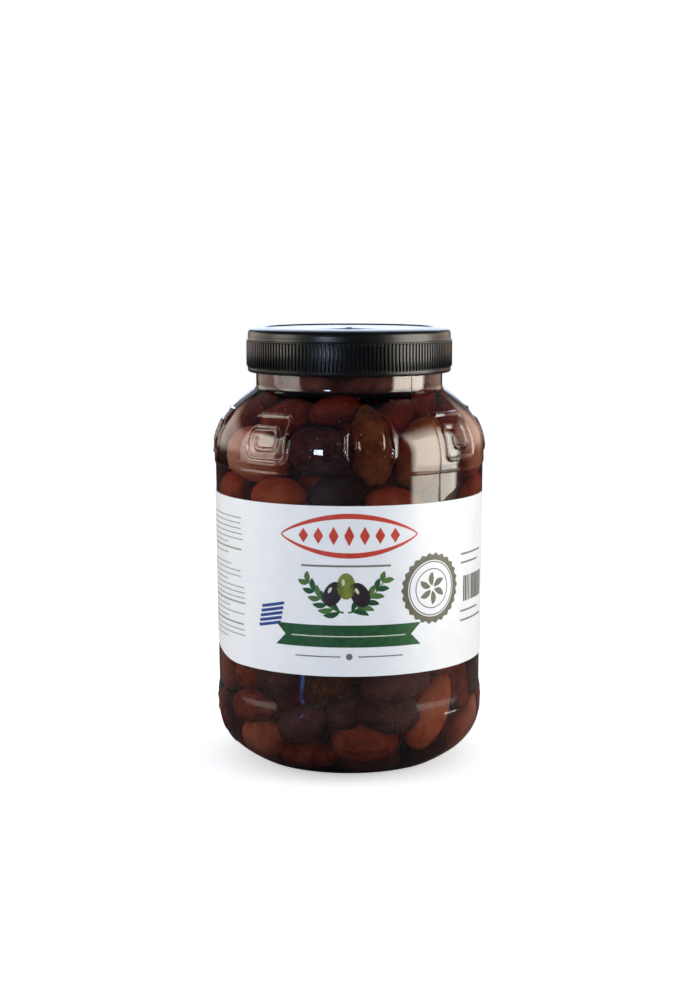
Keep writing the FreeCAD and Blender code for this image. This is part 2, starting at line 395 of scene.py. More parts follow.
@dataclass(frozen=True)
class OliveSkin(Finish):
    """Cured olive skin: smooth and waxy, mottled, with pale pinprick spots and a paler shoulder.

    It lies in brine, which takes most of its own gloss away, so its refractive index against the
    brine is near 1. Its colours are paler than they look in the jar, as the brine darkens them.
    """

    name: str
    dark: str
    light: str
    blush: str
    spot: str
    mottle_width: float = 7.0
    streak_width: float = 1.2
    spot_gap: float = 1.6
    index_in_brine: float = 1.08

    def dress(self, tree: bpy.types.NodeTree, shader: bpy.types.Node) -> None:
        """Mottling under finer streaks, with spots that are drawn 0.5 mm wide so that they show.

        Args:
            tree: the material's nodes.
            shader: its Principled shader.
        """
        where = add_node(tree, "ShaderNodeTexCoord").outputs["Object"]
        tone = add_node(tree, "ShaderNodeAttribute", attribute_name="tone").outputs["Fac"]
        blotch = add_node(tree, "ShaderNodeTexNoise",
                          {"Vector": where, "Scale": 1 / (self.mottle_width * MM), "Detail": 4.0,
                           "Roughness": 0.6})
        streak = add_node(tree, "ShaderNodeTexNoise",
                          {"Vector": where, "Scale": 1 / (self.streak_width * MM), "Detail": 2.0})
        mixed = add_node(tree, "ShaderNodeMath", {0: blotch.outputs["Fac"], 1: 0.9, 2: tone},
                         operation="MULTIPLY_ADD")
        mixed = add_node(tree, "ShaderNodeMath", {0: streak.outputs["Fac"], 1: 0.25, 2: mixed.outputs[0]},
                         operation="MULTIPLY_ADD")
        skin = ramp(tree, mixed.outputs[0], [(0.25, linear(self.dark)), (0.85, linear(self.light)),
                                             (1.0, linear(self.blush))])
        cells = add_node(tree, "ShaderNodeTexVoronoi",
                         {"Vector": where, "Scale": 1 / (self.spot_gap * MM)})
        dot = ramp(tree, cells.outputs["Distance"], [(0.12, (0.3, 0.3, 0.3, 1.0)),
                                                     (0.2, (0.0, 0.0, 0.0, 1.0))])
        colour = add_node(tree, "ShaderNodeMix",
                          {"Factor": dot, "A": skin, "B": linear(self.spot)}, data_type="RGBA")
        tree.links.new(colour.outputs["Result"], shader.inputs["Base Color"])
        rough = add_node(tree, "ShaderNodeMapRange",
                         {"Value": blotch.outputs["Fac"], "To Min": 0.34, "To Max": 0.52})
        tree.links.new(rough.outputs["Result"], shader.inputs["Roughness"])
        bump = add_node(tree, "ShaderNodeBump",
                        {"Height": streak.outputs["Fac"], "Strength": 0.25, "Distance": 0.25 * MM})
        tree.links.new(bump.outputs["Normal"], shader.inputs["Normal"])
        shader.inputs["IOR"].default_value = self.index_in_brine


@dataclass(frozen=True)
class MouldedPolypropylene(Finish):
    """Black injection-moulded polypropylene: even semi-gloss with a soft, slightly grainy sheen."""

    name: str = "black_moulded_pp"
    dark: str = "#08090b"
    light: str = "#0e1011"
    grain_width: float = 0.6
    flow_width: float = 18.0
    ior: float = 1.42

    def dress(self, tree: bpy.types.NodeTree, shader: bpy.types.Node) -> None:
        """Grain in gloss and relief, coarser than the mould's own so that it shows, over slow flow.

        Args:
            tree: the material's nodes.
            shader: its Principled shader.
        """
        where = add_node(tree, "ShaderNodeTexCoord").outputs["Object"]
        grain = add_node(tree, "ShaderNodeTexNoise",
                         {"Vector": where, "Scale": 1 / (self.grain_width * MM), "Detail": 3.0})
        flow = add_node(tree, "ShaderNodeTexNoise",
                        {"Vector": where, "Scale": 1 / (self.flow_width * MM), "Detail": 2.0})
        shade = ramp(tree, flow.outputs["Fac"], [(0.3, linear(self.dark)), (0.75, linear(self.light))])
        tree.links.new(shade, shader.inputs["Base Color"])
        rough = add_node(tree, "ShaderNodeMapRange",
                         {"Value": grain.outputs["Fac"], "To Min": 0.26, "To Max": 0.36})
        tree.links.new(rough.outputs["Result"], shader.inputs["Roughness"])
        bump = add_node(tree, "ShaderNodeBump",
                        {"Height": grain.outputs["Fac"], "Strength": 0.08, "Distance": 0.1 * MM})
        tree.links.new(bump.outputs["Normal"], shader.inputs["Normal"])
        shader.inputs["IOR"].default_value = self.ior


@dataclass(frozen=True)
class CoatedPaper(Finish):
    """White coated label paper: matt gloss over faint fibre, a touch cool."""

    name: str = "coated_label_paper"
    dark: str = "#eceef2"
    light: str = "#f1f3f6"
    cloud_width: float = 9.0
    fibre_width: float = 0.8
    roughness: float = 0.42

    def dress(self, tree: bpy.types.NodeTree, shader: bpy.types.Node) -> None:
        """Clouding, and fibre drawn coarser than it is, both barely there.

        Args:
            tree: the material's nodes.
            shader: its Principled shader.
        """
        where = add_node(tree, "ShaderNodeTexCoord").outputs["Object"]
        cloud = add_node(tree, "ShaderNodeTexNoise",
                         {"Vector": where, "Scale": 1 / (self.cloud_width * MM), "Detail": 2.0})
        fibre = add_node(tree, "ShaderNodeTexNoise",
                         {"Vector": where, "Scale": 1 / (self.fibre_width * MM), "Detail": 4.0})
        shade = ramp(tree, cloud.outputs["Fac"], [(0.3, linear(self.dark)), (0.7, linear(self.light))])
        tree.links.new(shade, shader.inputs["Base Color"])
        bump = add_node(tree, "ShaderNodeBump",
                        {"Height": fibre.outputs["Fac"], "Strength": 0.06, "Distance": 0.05 * MM})
        tree.links.new(bump.outputs["Normal"], shader.inputs["Normal"])
        shader.inputs["Roughness"].default_value = self.roughness


@dataclass(frozen=True)
class LabelInk(Finish):
    """Offset ink on coated paper: flat colour whose coverage wavers a little."""

    name: str
    colour: str
    shade: str
    cover_width: float = 3.0
    roughness: float = 0.4

    def dress(self, tree: bpy.types.NodeTree, shader: bpy.types.Node) -> None:
        """Two near tones in small clouds, with the sheen of the paper below.

        Args:
            tree: the material's nodes.
            shader: its Principled shader.
        """
        where = add_node(tree, "ShaderNodeTexCoord").outputs["Object"]
        cover = add_node(tree, "ShaderNodeTexNoise",
                         {"Vector": where, "Scale": 1 / (self.cover_width * MM), "Detail": 3.0})
        ink = ramp(tree, cover.outputs["Fac"], [(0.35, linear(self.shade)), (0.65, linear(self.colour))])
        tree.links.new(ink, shader.inputs["Base Color"])
        shader.inputs["Roughness"].default_value = self.roughness


@dataclass(frozen=True)
class AirBubble(Finish):
    """Air held in brine: a bead that throws light back from its far side, so it looks silver."""

    name: str = "air_bubble"
    silver: str = "#e8e4dc"
    roughness: float = 0.12
    metallic: float = 0.6

    def dress(self, tree: bpy.types.NodeTree, shader: bpy.types.Node) -> None:
        """Pale and glossy, the way a bubble smaller than a millimetre reads to the eye.

        Args:
            tree: the material's nodes.
            shader: its Principled shader.
        """
        shader.inputs["Base Color"].default_value = linear(self.silver)
        shader.inputs["Roughness"].default_value = self.roughness
        shader.inputs["Metallic"].default_value = self.metallic


# ------------------------------------------------------------------ the jar's outline

@dataclass(frozen=True)
class Outline:
    """Half section of the jar's wall, from the centre of the base to the lip."""

    body_radius: float = 64.5
    neck_radius: float = 44.5
    standing_radius: float = 42.0
    panel_recess: float = 0.5
    panel_taper: float = 0.9
    foot_relief: float = 0.7
    wall: float = 1.2
    heel_height: float = 28.5
    foot_band_height: float = 3.5
    foot_blend_height: float = 5.5
    panel_height: float = 105.3
    belt_step_height: float = 0.8
    belt_height: float = 6.4
    shoulder_height: float = 29.8
    neck_height: float = 24.8
    ring_flat: float = 1.6
    ring_fillet: float = 5.0
    heel_angle: float = 27.0
    heel_low_pull: float = 15.9
    heel_high_pull: float = 13.6
    base_dome: float = 6.0
    shoulder_slope: float = 36.5
    shoulder_low_pull: float = 11.5
    shoulder_high_pull: float = 14.5
    neck_fillet: float = 2.2

    @property
    def foot_band_z(self) -> float:
        """Top of the upright band above the heel."""
        return self.heel_height + self.foot_band_height

    @property
    def panel_foot_z(self) -> float:
        """Foot of the label panel."""
        return self.foot_band_z + self.foot_blend_height

    @property
    def panel_top_z(self) -> float:
        """Top of the label panel."""
        return self.panel_foot_z + self.panel_height

    @property
    def belt_foot_z(self) -> float:
        """Foot of the belt."""
        return self.panel_top_z + self.belt_step_height

    @property
    def belt_top_z(self) -> float:
        """Top of the belt."""
        return self.belt_foot_z + self.belt_height

    @property
    def neck_foot_z(self) -> float:
        """Foot of the plain neck."""
        return self.belt_top_z + self.shoulder_height

    @property
    def lip_z(self) -> float:
        """Lip of the jar."""
        return self.neck_foot_z + self.neck_height

    def panel_radius(self, z: np.ndarray) -> np.ndarray:
        """Radius of the label panel at a height: it widens evenly from its foot to its top."""
        top = self.body_radius - self.panel_recess
        return top - self.panel_taper * (self.panel_top_z - z) / self.panel_height

    def section(self, inset: float, top_z: float) -> np.ndarray:
        """Half section moved in by inset, cut off at a height on the neck.

        Args:
            inset: distance from the outside towards the inside.
            top_z: height of the last point.

        Returns:
            Rows of (radius, height): the dome, the ring, the heel curve, the foot band, the hollow
            blend, the panel, the step, the belt, the shoulder curve, the fillet and the neck.
        """
        flat = self.standing_radius - self.ring_flat
        rise = math.radians(self.heel_angle)
        foot = self.body_radius - self.foot_relief - inset
        belt = self.body_radius - inset
        panel_foot = float(self.panel_radius(self.panel_foot_z)) - inset
        panel_top = float(self.panel_radius(self.panel_top_z)) - inset
        dome = bezier([(0.0, self.base_dome + inset), (flat / 2, self.base_dome + inset),
                       (flat - self.ring_fillet, inset), (flat, inset)], 60)
        ring = arc((self.standing_radius, self.ring_fillet), self.ring_fillet - inset,
                   -90.0, self.heel_angle - 90.0, 20)
        start = ring[-1]
        low_pull = start + self.heel_low_pull * np.array([math.cos(rise), math.sin(rise)])
        heel = bezier([tuple(start), tuple(low_pull), (foot, self.heel_height - self.heel_high_pull),
                       (foot, self.heel_height)], 120)
        blend_mid = (self.foot_band_z + self.panel_foot_z) / 2
        blend = bezier([(foot, self.foot_band_z), (foot, blend_mid), (panel_foot, blend_mid),
                        (panel_foot, self.panel_foot_z)], 40)
        step_mid = (self.panel_top_z + self.belt_foot_z) / 2
        step = bezier([(panel_top, self.panel_top_z), (panel_top, step_mid), (belt, step_mid),
                       (belt, self.belt_foot_z)], 20)
        fillet = arc((self.neck_radius + self.neck_fillet, self.neck_foot_z), self.neck_fillet + inset,
                     270.0 - self.shoulder_slope, 180.0, 24)
        fall = math.radians(self.shoulder_slope)
        high_pull = fillet[0] + self.shoulder_high_pull * np.array([math.cos(fall), -math.sin(fall)])
        shoulder = bezier([(belt, self.belt_top_z), (belt, self.belt_top_z + self.shoulder_low_pull),
                           tuple(high_pull), tuple(fillet[0])], 120)
        neck = np.array([(self.neck_radius - inset, top_z)])
        return np.concatenate([dome, ring, heel[1:], blend, step, shoulder, fillet[1:], neck])


def along(section: np.ndarray) -> np.ndarray:
    """Length of the section's line from its start to each of its points."""
    return np.concatenate([[0.0], np.cumsum(np.hypot(*np.diff(section, axis=0).T))])


def resample(section: np.ndarray, stations: np.ndarray) -> tuple[np.ndarray, np.ndarray]:
    """Points of a section at given lengths, and the outward unit normals there.

    Args:
        section: rows of (radius, height).
        stations: lengths along it.

    Returns:
        Rows of (radius, height), and rows of the normal, which is the tangent turned clockwise.
    """
    length = along(section)
    points = np.stack([np.interp(stations, length, section[:, i]) for i in (0, 1)], axis=1)
    tangent = np.gradient(points, stations, axis=0)
    normal = np.stack([tangent[:, 1], -tangent[:, 0]], axis=1)
    return points, normal / np.linalg.norm(normal, axis=1, keepdims=True)


# ------------------------------------------------------------------ fret relief

@dataclass(frozen=True)
class Fret:
    """One square spiral of the key-fret rows, as a path with rounded corners."""

    width: float = 22.0
    height: float = 20.0
    pitch: float = 5.2
    legs: int = 8
    corner: float = 3.2
    ridge_half_width: float = 1.15
    ridge_rise: float = 0.8
    margin: float = 2.0
    path_step: float = 0.25
    corner_points: int = 9
    leg_per_corner: float = 2.2

    def path(self) -> np.ndarray:
        """Centre line of the ridge.

        Returns:
            Points path_step apart, as rows of (across, up), from the outer top left end inwards.
            A corner's radius is at most its shorter leg over leg_per_corner.
        """
        headings = np.array([(1, 0), (0, -1), (-1, 0), (0, 1)], dtype=float)
        leg = np.arange(self.legs)
        spans = np.where(leg % 2 == 0, self.width, self.height) - self.pitch * np.maximum(0, (leg - 1) // 2)
        steps = headings[leg % 4] * spans[:, None]
        corners = np.concatenate([[(-self.width / 2, self.height / 2)],
                                  np.cumsum(steps, axis=0) + (-self.width / 2, self.height / 2)])
        pieces = [corners[:1]]
        for number in range(1, len(corners) - 1):
            into = headings[(number - 1) % 4]
            out = headings[number % 4]
            radius = min(self.corner, spans[number - 1] / self.leg_per_corner,
                         spans[number] / self.leg_per_corner)
            turn = np.linspace(0.0, np.pi / 2, self.corner_points)[:, None]
            centre = corners[number] - into * radius + out * radius
            pieces.append(centre - out * radius * np.cos(turn) + into * radius * np.sin(turn))
        pieces.append(corners[-1:])
        line = np.concatenate(pieces)
        length = along(line)
        stations = np.arange(0.0, length[-1], self.path_step)
        return np.stack([np.interp(stations, length, line[:, i]) for i in (0, 1)], axis=1)

    def relief(self, across: np.ndarray, up: np.ndarray) -> np.ndarray:
        """Height of the ridge over the wall.

        Args:
            across: distance to the right of the fret's centre.
            up: height above its centre.

        Returns:
            rise x cos^2(90 degrees x distance to the path / half width), and 0 outside that width.
        """
        result = np.zeros(across.shape)
        near = (np.abs(across) < self.width / 2 + self.margin) & (np.abs(up) < self.height / 2 + self.margin)
        path = self.path()
        gap = np.hypot(across[near][:, None] - path[:, 0], up[near][:, None] - path[:, 1]).min(axis=1)
        share = np.clip(gap / self.ridge_half_width, 0.0, 1.0)
        result[near] = self.ridge_rise * np.cos(share * np.pi / 2) ** 2
        return result


# ------------------------------------------------------------------ jar and brine

@dataclass
class JarShell:
    """The blown jar: outer wall with fret ridges and parting lines, and a smooth inner wall."""

    outline: Outline
    fret: Fret = field(default_factory=Fret)
    fret_count: int = 8
    fret_turn: float = 8.5
    upper_fret_z: float = 158.5
    lower_fret_z: float = 18.8
    lower_fret_share: float = 0.5
    parting_azimuth: float = 40.0
    parting_rise: float = 0.22
    parting_half_width: float = 0.35
    wave_rise: float = 0.05
    fine_step: float = 0.46
    fine_column: float = 0.506
    parting_column: float = 0.2
    lower_step: float = 0.8
    plain_step: float = 3.2
    neck_margin: float = 3.0
    belt_margin: float = 1.5
    fret_margin: float = 1.6
    parting_margin: float = 1.0
    first_station: float = 0.6
    inner_start: float = 0.8
    inner_rows: int = 90
    inner_columns: int = 120
    lip_depth: float = 1.0
    heel_fade: float = 6.0

    def off_fret(self, azimuth: np.ndarray) -> np.ndarray:
        """Degrees from the middle of the nearest fret."""
        sector = 360.0 / self.fret_count
        return (azimuth - self.fret_turn + sector / 2) % sector - sector / 2

    def off_parting(self, azimuth: np.ndarray) -> np.ndarray:
        """Degrees from the nearer of the two parting lines, which are half a turn apart."""
        return (azimuth - self.parting_azimuth + 90.0) % 180.0 - 90.0

    def stations(self, length: np.ndarray, section: np.ndarray) -> np.ndarray:
        """Places along the outer section: close on the frets, the step and the small curves.

        Args:
            length: length of the section's line up to each of its points.
            section: rows of (radius, height).

        Returns:
            Lengths along the section, in rising order.
        """
        def spacing(place_at: np.ndarray) -> np.ndarray:
            """Find the wanted step at a length along the section.

            Args:
                place_at: lengths along the section.

            Returns:
                The step at each.
            """
            z = np.interp(place_at, length, section[:, 1])
            r = np.interp(place_at, length, section[:, 0])
            reach = self.fret.height / 2 + self.fret.margin
            upper = np.abs(z - self.upper_fret_z) < reach
            lower = (np.abs(z - self.lower_fret_z) < reach) & (r > self.outline.standing_radius)
            neck_foot = np.abs(z - self.outline.neck_foot_z) < self.neck_margin
            belt_step = np.abs(z - self.outline.belt_foot_z) < self.belt_margin
            step = np.where(lower, self.lower_step, self.plain_step)
            return np.where(upper | neck_foot | belt_step, self.fine_step, step)
        return spaced(self.first_station, length[-1], spacing)

    def azimuths(self) -> np.ndarray:
        """Columns round the jar: close on the frets and on the two parting lines.

        Returns:
            Azimuths in degrees, once round.
        """
        per_degree = math.radians(self.outline.body_radius)

        def spacing(azimuth: np.ndarray) -> np.ndarray:
            """Find the wanted step at an azimuth.

            Args:
                azimuth: degrees from the front.

            Returns:
                The step at each, in degrees.
            """
            fret = np.abs(self.off_fret(azimuth)) * per_degree < self.fret.width / 2 + self.fret_margin
            parting = np.abs(self.off_parting(azimuth)) * per_degree < self.parting_margin
            step = np.where(fret, self.fine_column, self.plain_step)
            return np.where(parting, self.parting_column, step) / per_degree
        return spaced(-180.0, 180.0, spacing)[:-1]

    def relief(self, azimuth: np.ndarray, z: np.ndarray) -> np.ndarray:
        """Rise of the outer wall over its plain section.

        Args:
            azimuth: degrees from the front.
            z: height.

        Returns:
            The frets' ridges + parting rise x exp(-(gap / half width)^2) + a slow waver of three sines.
        """
        per_degree = math.radians(self.outline.body_radius)
        across = self.off_fret(azimuth) * per_degree
        rise = self.fret.relief(across, z - self.upper_fret_z)
        rise = rise + self.lower_fret_share * self.fret.relief(across, z - self.lower_fret_z)
        gap = np.abs(self.off_parting(azimuth)) * per_degree / self.parting_half_width
        rise = rise + self.parting_rise * np.exp(-gap ** 2)
        turn = np.radians(azimuth)
        waver = (np.sin(5 * turn + z / 17.0) + 0.7 * np.sin(9 * turn - z / 11.0 + 1.3)
                 + np.sin(z / 8.0 + 3 * turn))
        return rise + self.wave_rise * waver * smooth(4.0, 14.0, z)

    def build(self) -> bpy.types.Object:
        """Make the shell as one mesh: the outer wall, and the inner wall facing inwards.

        Returns:
            The jar. Both walls are closed, so the plastic is the space between them.
        """
        shape = Shape()
        section = self.outline.section(0.0, self.outline.lip_z)
        length = along(section)
        points, normal = resample(section, self.stations(length, section))
        azimuth = self.azimuths()[None, :]
        rise = self.relief(np.broadcast_to(azimuth, (len(points), azimuth.size)),
                           np.broadcast_to(points[:, 1:], (len(points), azimuth.size)))
        fade = smooth(self.outline.standing_radius, self.outline.standing_radius + self.heel_fade,
                      points[:, :1])
        rise = rise * np.where(points[:, 1:] > self.outline.heel_height, 1.0, fade)
        outer = turned(points[:, :1] + rise * normal[:, :1], points[:, 1:] + rise * normal[:, 1:], azimuth)
        shape.grid(outer, wrap=True, poles=[(0.0, 0.0, self.outline.base_dome),
                                            (0.0, 0.0, self.outline.lip_z)])
        inner_top = self.outline.lip_z - self.lip_depth
        inner = self.outline.section(self.outline.wall, inner_top)
        inner_points, _ = resample(inner, np.linspace(self.inner_start, along(inner)[-1], self.inner_rows))
        backwards = np.linspace(180.0, -180.0, self.inner_columns + 1)[:-1][None, :]
        wall = turned(inner_points[:, :1], inner_points[:, 1:], backwards)
        shape.grid(wall, wrap=True, poles=[(0.0, 0.0, self.outline.base_dome + self.outline.wall),
                                           (0.0, 0.0, inner_top)])
        return shape.to_object("jar_shell")

    def dress(self, piece: bpy.types.Object) -> None:
        """Clear plastic over the whole shell."""
        place(piece, BlownPolyester().material(), "jar_plastic", "jar")


@dataclass
class BrineFill:
    """The liquid: a body that reaches just into the wall, and a dark heart where no light gets in."""

    outline: Outline
    headspace: float = 3.0
    reach: float = 0.5
    rows: int = 130
    columns: int = 144
    start: float = 0.8
    heart_inset: float = 27.0
    heart_neck_radius: float = 40.0
    heart_foot_z: float = 14.0
    heart_top_gap: float = 2.0
    heart_neck_low_z: float = 148.0
    heart_neck_high_z: float = 178.0
    lump_rise: float = 1.4
    heart_rows: int = 60
    heart_columns: int = 96

    def build(self) -> bpy.types.Object:
        """Make the liquid's body, which starts inside the plastic so that no air shows.

        Returns:
            The liquid, the jar's inner section turned round and closed at its level.
        """
        shape = Shape()
        level = self.outline.lip_z - self.headspace
        section = self.outline.section(self.outline.wall - self.reach, level)
        points, _ = resample(section, np.linspace(self.start, along(section)[-1], self.rows))
        azimuth = np.linspace(-180.0, 180.0, self.columns + 1)[:-1][None, :]
        shape.grid(turned(points[:, :1], points[:, 1:], azimuth), wrap=True,
                   poles=[(0.0, 0.0, self.outline.base_dome + self.outline.wall - self.reach),
                          (0.0, 0.0, level)])
        return shape.to_object("brine", sharp=50.0)

    def build_heart(self) -> bpy.types.Object:
        """Make the dark heart: a column with soft lumps, wider in the neck and drawn in at both ends.

        Returns:
            The heart, radius = (waist + lump rise x two sines) x root of the way in from each end.
        """
        shape = Shape()
        low = self.heart_foot_z
        high = self.outline.lip_z - self.headspace - self.heart_top_gap
        z = np.linspace(low, high, self.heart_rows)[:, None]
        azimuth = np.linspace(-180.0, 180.0, self.heart_columns + 1)[:-1][None, :]
        body = self.outline.body_radius - self.heart_inset
        neck = smooth(self.heart_neck_low_z, self.heart_neck_high_z, z)
        waist = body + (self.heart_neck_radius - body) * neck
        ends = np.sqrt(np.clip((z - low) / 10.0, 0.02, 1.0)) * np.sqrt(np.clip((high - z) / 4.0, 0.02, 1.0))
        turn = np.radians(azimuth)
        lumps = self.lump_rise * np.sin(4 * turn + z / 6.0) * np.sin(z / 7.0 + 2 * turn)
        radius = (waist + lumps) * ends
        shape.grid(turned(radius, z + 0 * azimuth, azimuth + 0 * z), wrap=True,
                   poles=[(0.0, 0.0, low - 0.5), (0.0, 0.0, high + 0.2)])
        return shape.to_object("brine_heart")

    def dress(self, brine: bpy.types.Object, heart: bpy.types.Object) -> None:
        """Clear brown liquid outside, near black inside."""
        place(brine, OliveBrine().material(), "olives_in_brine", "contents")
        place(heart, DeepBrine().material(), "olives_in_brine")


# ------------------------------------------------------------------ olives

class Kind(Enum):
    """Ripeness of an olive, which sets the colour of its skin."""

    RED = "red"
    MAUVE = "mauve"
    AMBER = "amber"
    TAN = "tan"


@dataclass(frozen=True)
class Placed:
    """An olive that lies in a known place against the wall.

    Lean turns its axis from upright towards the right, dip turns it outwards, both in degrees. Tone
    above 0 makes its skin paler.
    """

    kind: Kind
    azimuth: float
    z: float
    length: float
    width: float
    lean: float
    dip: float = 0.0
    tone: float = 0.0
    slit: bool = False


SKINS = {
    Kind.RED: OliveSkin("olive_skin_red", "#822f20", "#ce5f3e", "#dc7048", "#e08f68"),
    Kind.MAUVE: OliveSkin("olive_skin_mauve", "#3c211f", "#804c45", "#94645a", "#a98578"),
    Kind.AMBER: OliveSkin("olive_skin_amber", "#5c2c12", "#b0602c", "#b9883e", "#c9a46a"),
    Kind.TAN: OliveSkin("olive_skin_tan", "#b8634a", "#f09876", "#f8ae8c", "#f8c6aa"),
}

# Tones are partly each olive's own colour and partly painted shade: olives near the centre, where little
# light falls, get darker tones.
# kind, azimuth, height of its middle, length, width, lean
SHOWN = [
    Placed(Kind.TAN, -46, 152, 32, 23, 62, tone=0.4),
    Placed(Kind.RED, -57, 169, 28, 18, 35, tone=-0.15),
    Placed(Kind.RED, -33, 169, 26, 17, 40, tone=-0.12),
    Placed(Kind.MAUVE, -14, 155, 31, 21, 86, tone=-0.12),
    Placed(Kind.RED, -8, 174, 24, 15, 72, tone=-0.3),
    Placed(Kind.AMBER, 8, 156, 35, 18, 4, tone=-0.05),
    Placed(Kind.RED, 25, 172, 26, 17, 60, dip=40, tone=-0.2),
    Placed(Kind.AMBER, 30, 152, 33, 22, 12, tone=0.2),
    Placed(Kind.TAN, 70, 149, 29, 20, 15, tone=0.4),
    Placed(Kind.RED, 57, 168, 26, 18, 50, tone=-0.15),
    Placed(Kind.RED, -60, 134, 27, 19, 40, tone=0.2),
    Placed(Kind.RED, -32, 132, 28, 20, 78, tone=0.35),
    Placed(Kind.MAUVE, -4, 134, 26, 18, 60, tone=-0.35),
    Placed(Kind.RED, 19, 129, 28, 18, 84, tone=0.1),
    Placed(Kind.RED, 66, 130, 26, 18, 30, tone=0.3),
    Placed(Kind.TAN, -66, 47, 28, 19, 20, tone=-0.4),
    Placed(Kind.RED, -45, 31, 28, 16, 80, tone=-0.25),
    Placed(Kind.MAUVE, -29, 47, 26, 18, 75, tone=0.0),
    Placed(Kind.AMBER, -9, 45, 28, 19, 70, tone=-0.3),
    Placed(Kind.MAUVE, 19, 44, 33, 20, 82, tone=0.15),
    Placed(Kind.RED, 36, 31, 36, 19, 30, tone=0.4, slit=True),
    Placed(Kind.RED, 5, 17, 30, 18, 82, tone=-0.08, slit=True),
    Placed(Kind.TAN, 63, 16, 28, 19, 20, tone=0.1),
    Placed(Kind.MAUVE, -19, 25, 25, 17, 30, tone=0.05),
    Placed(Kind.RED, -73, 18, 26, 18, 25, tone=-0.25),
    Placed(Kind.RED, -19, 9, 27, 15, 84, tone=-0.2),
    Placed(Kind.MAUVE, 71, 41, 27, 18, 15, tone=0.1),
]


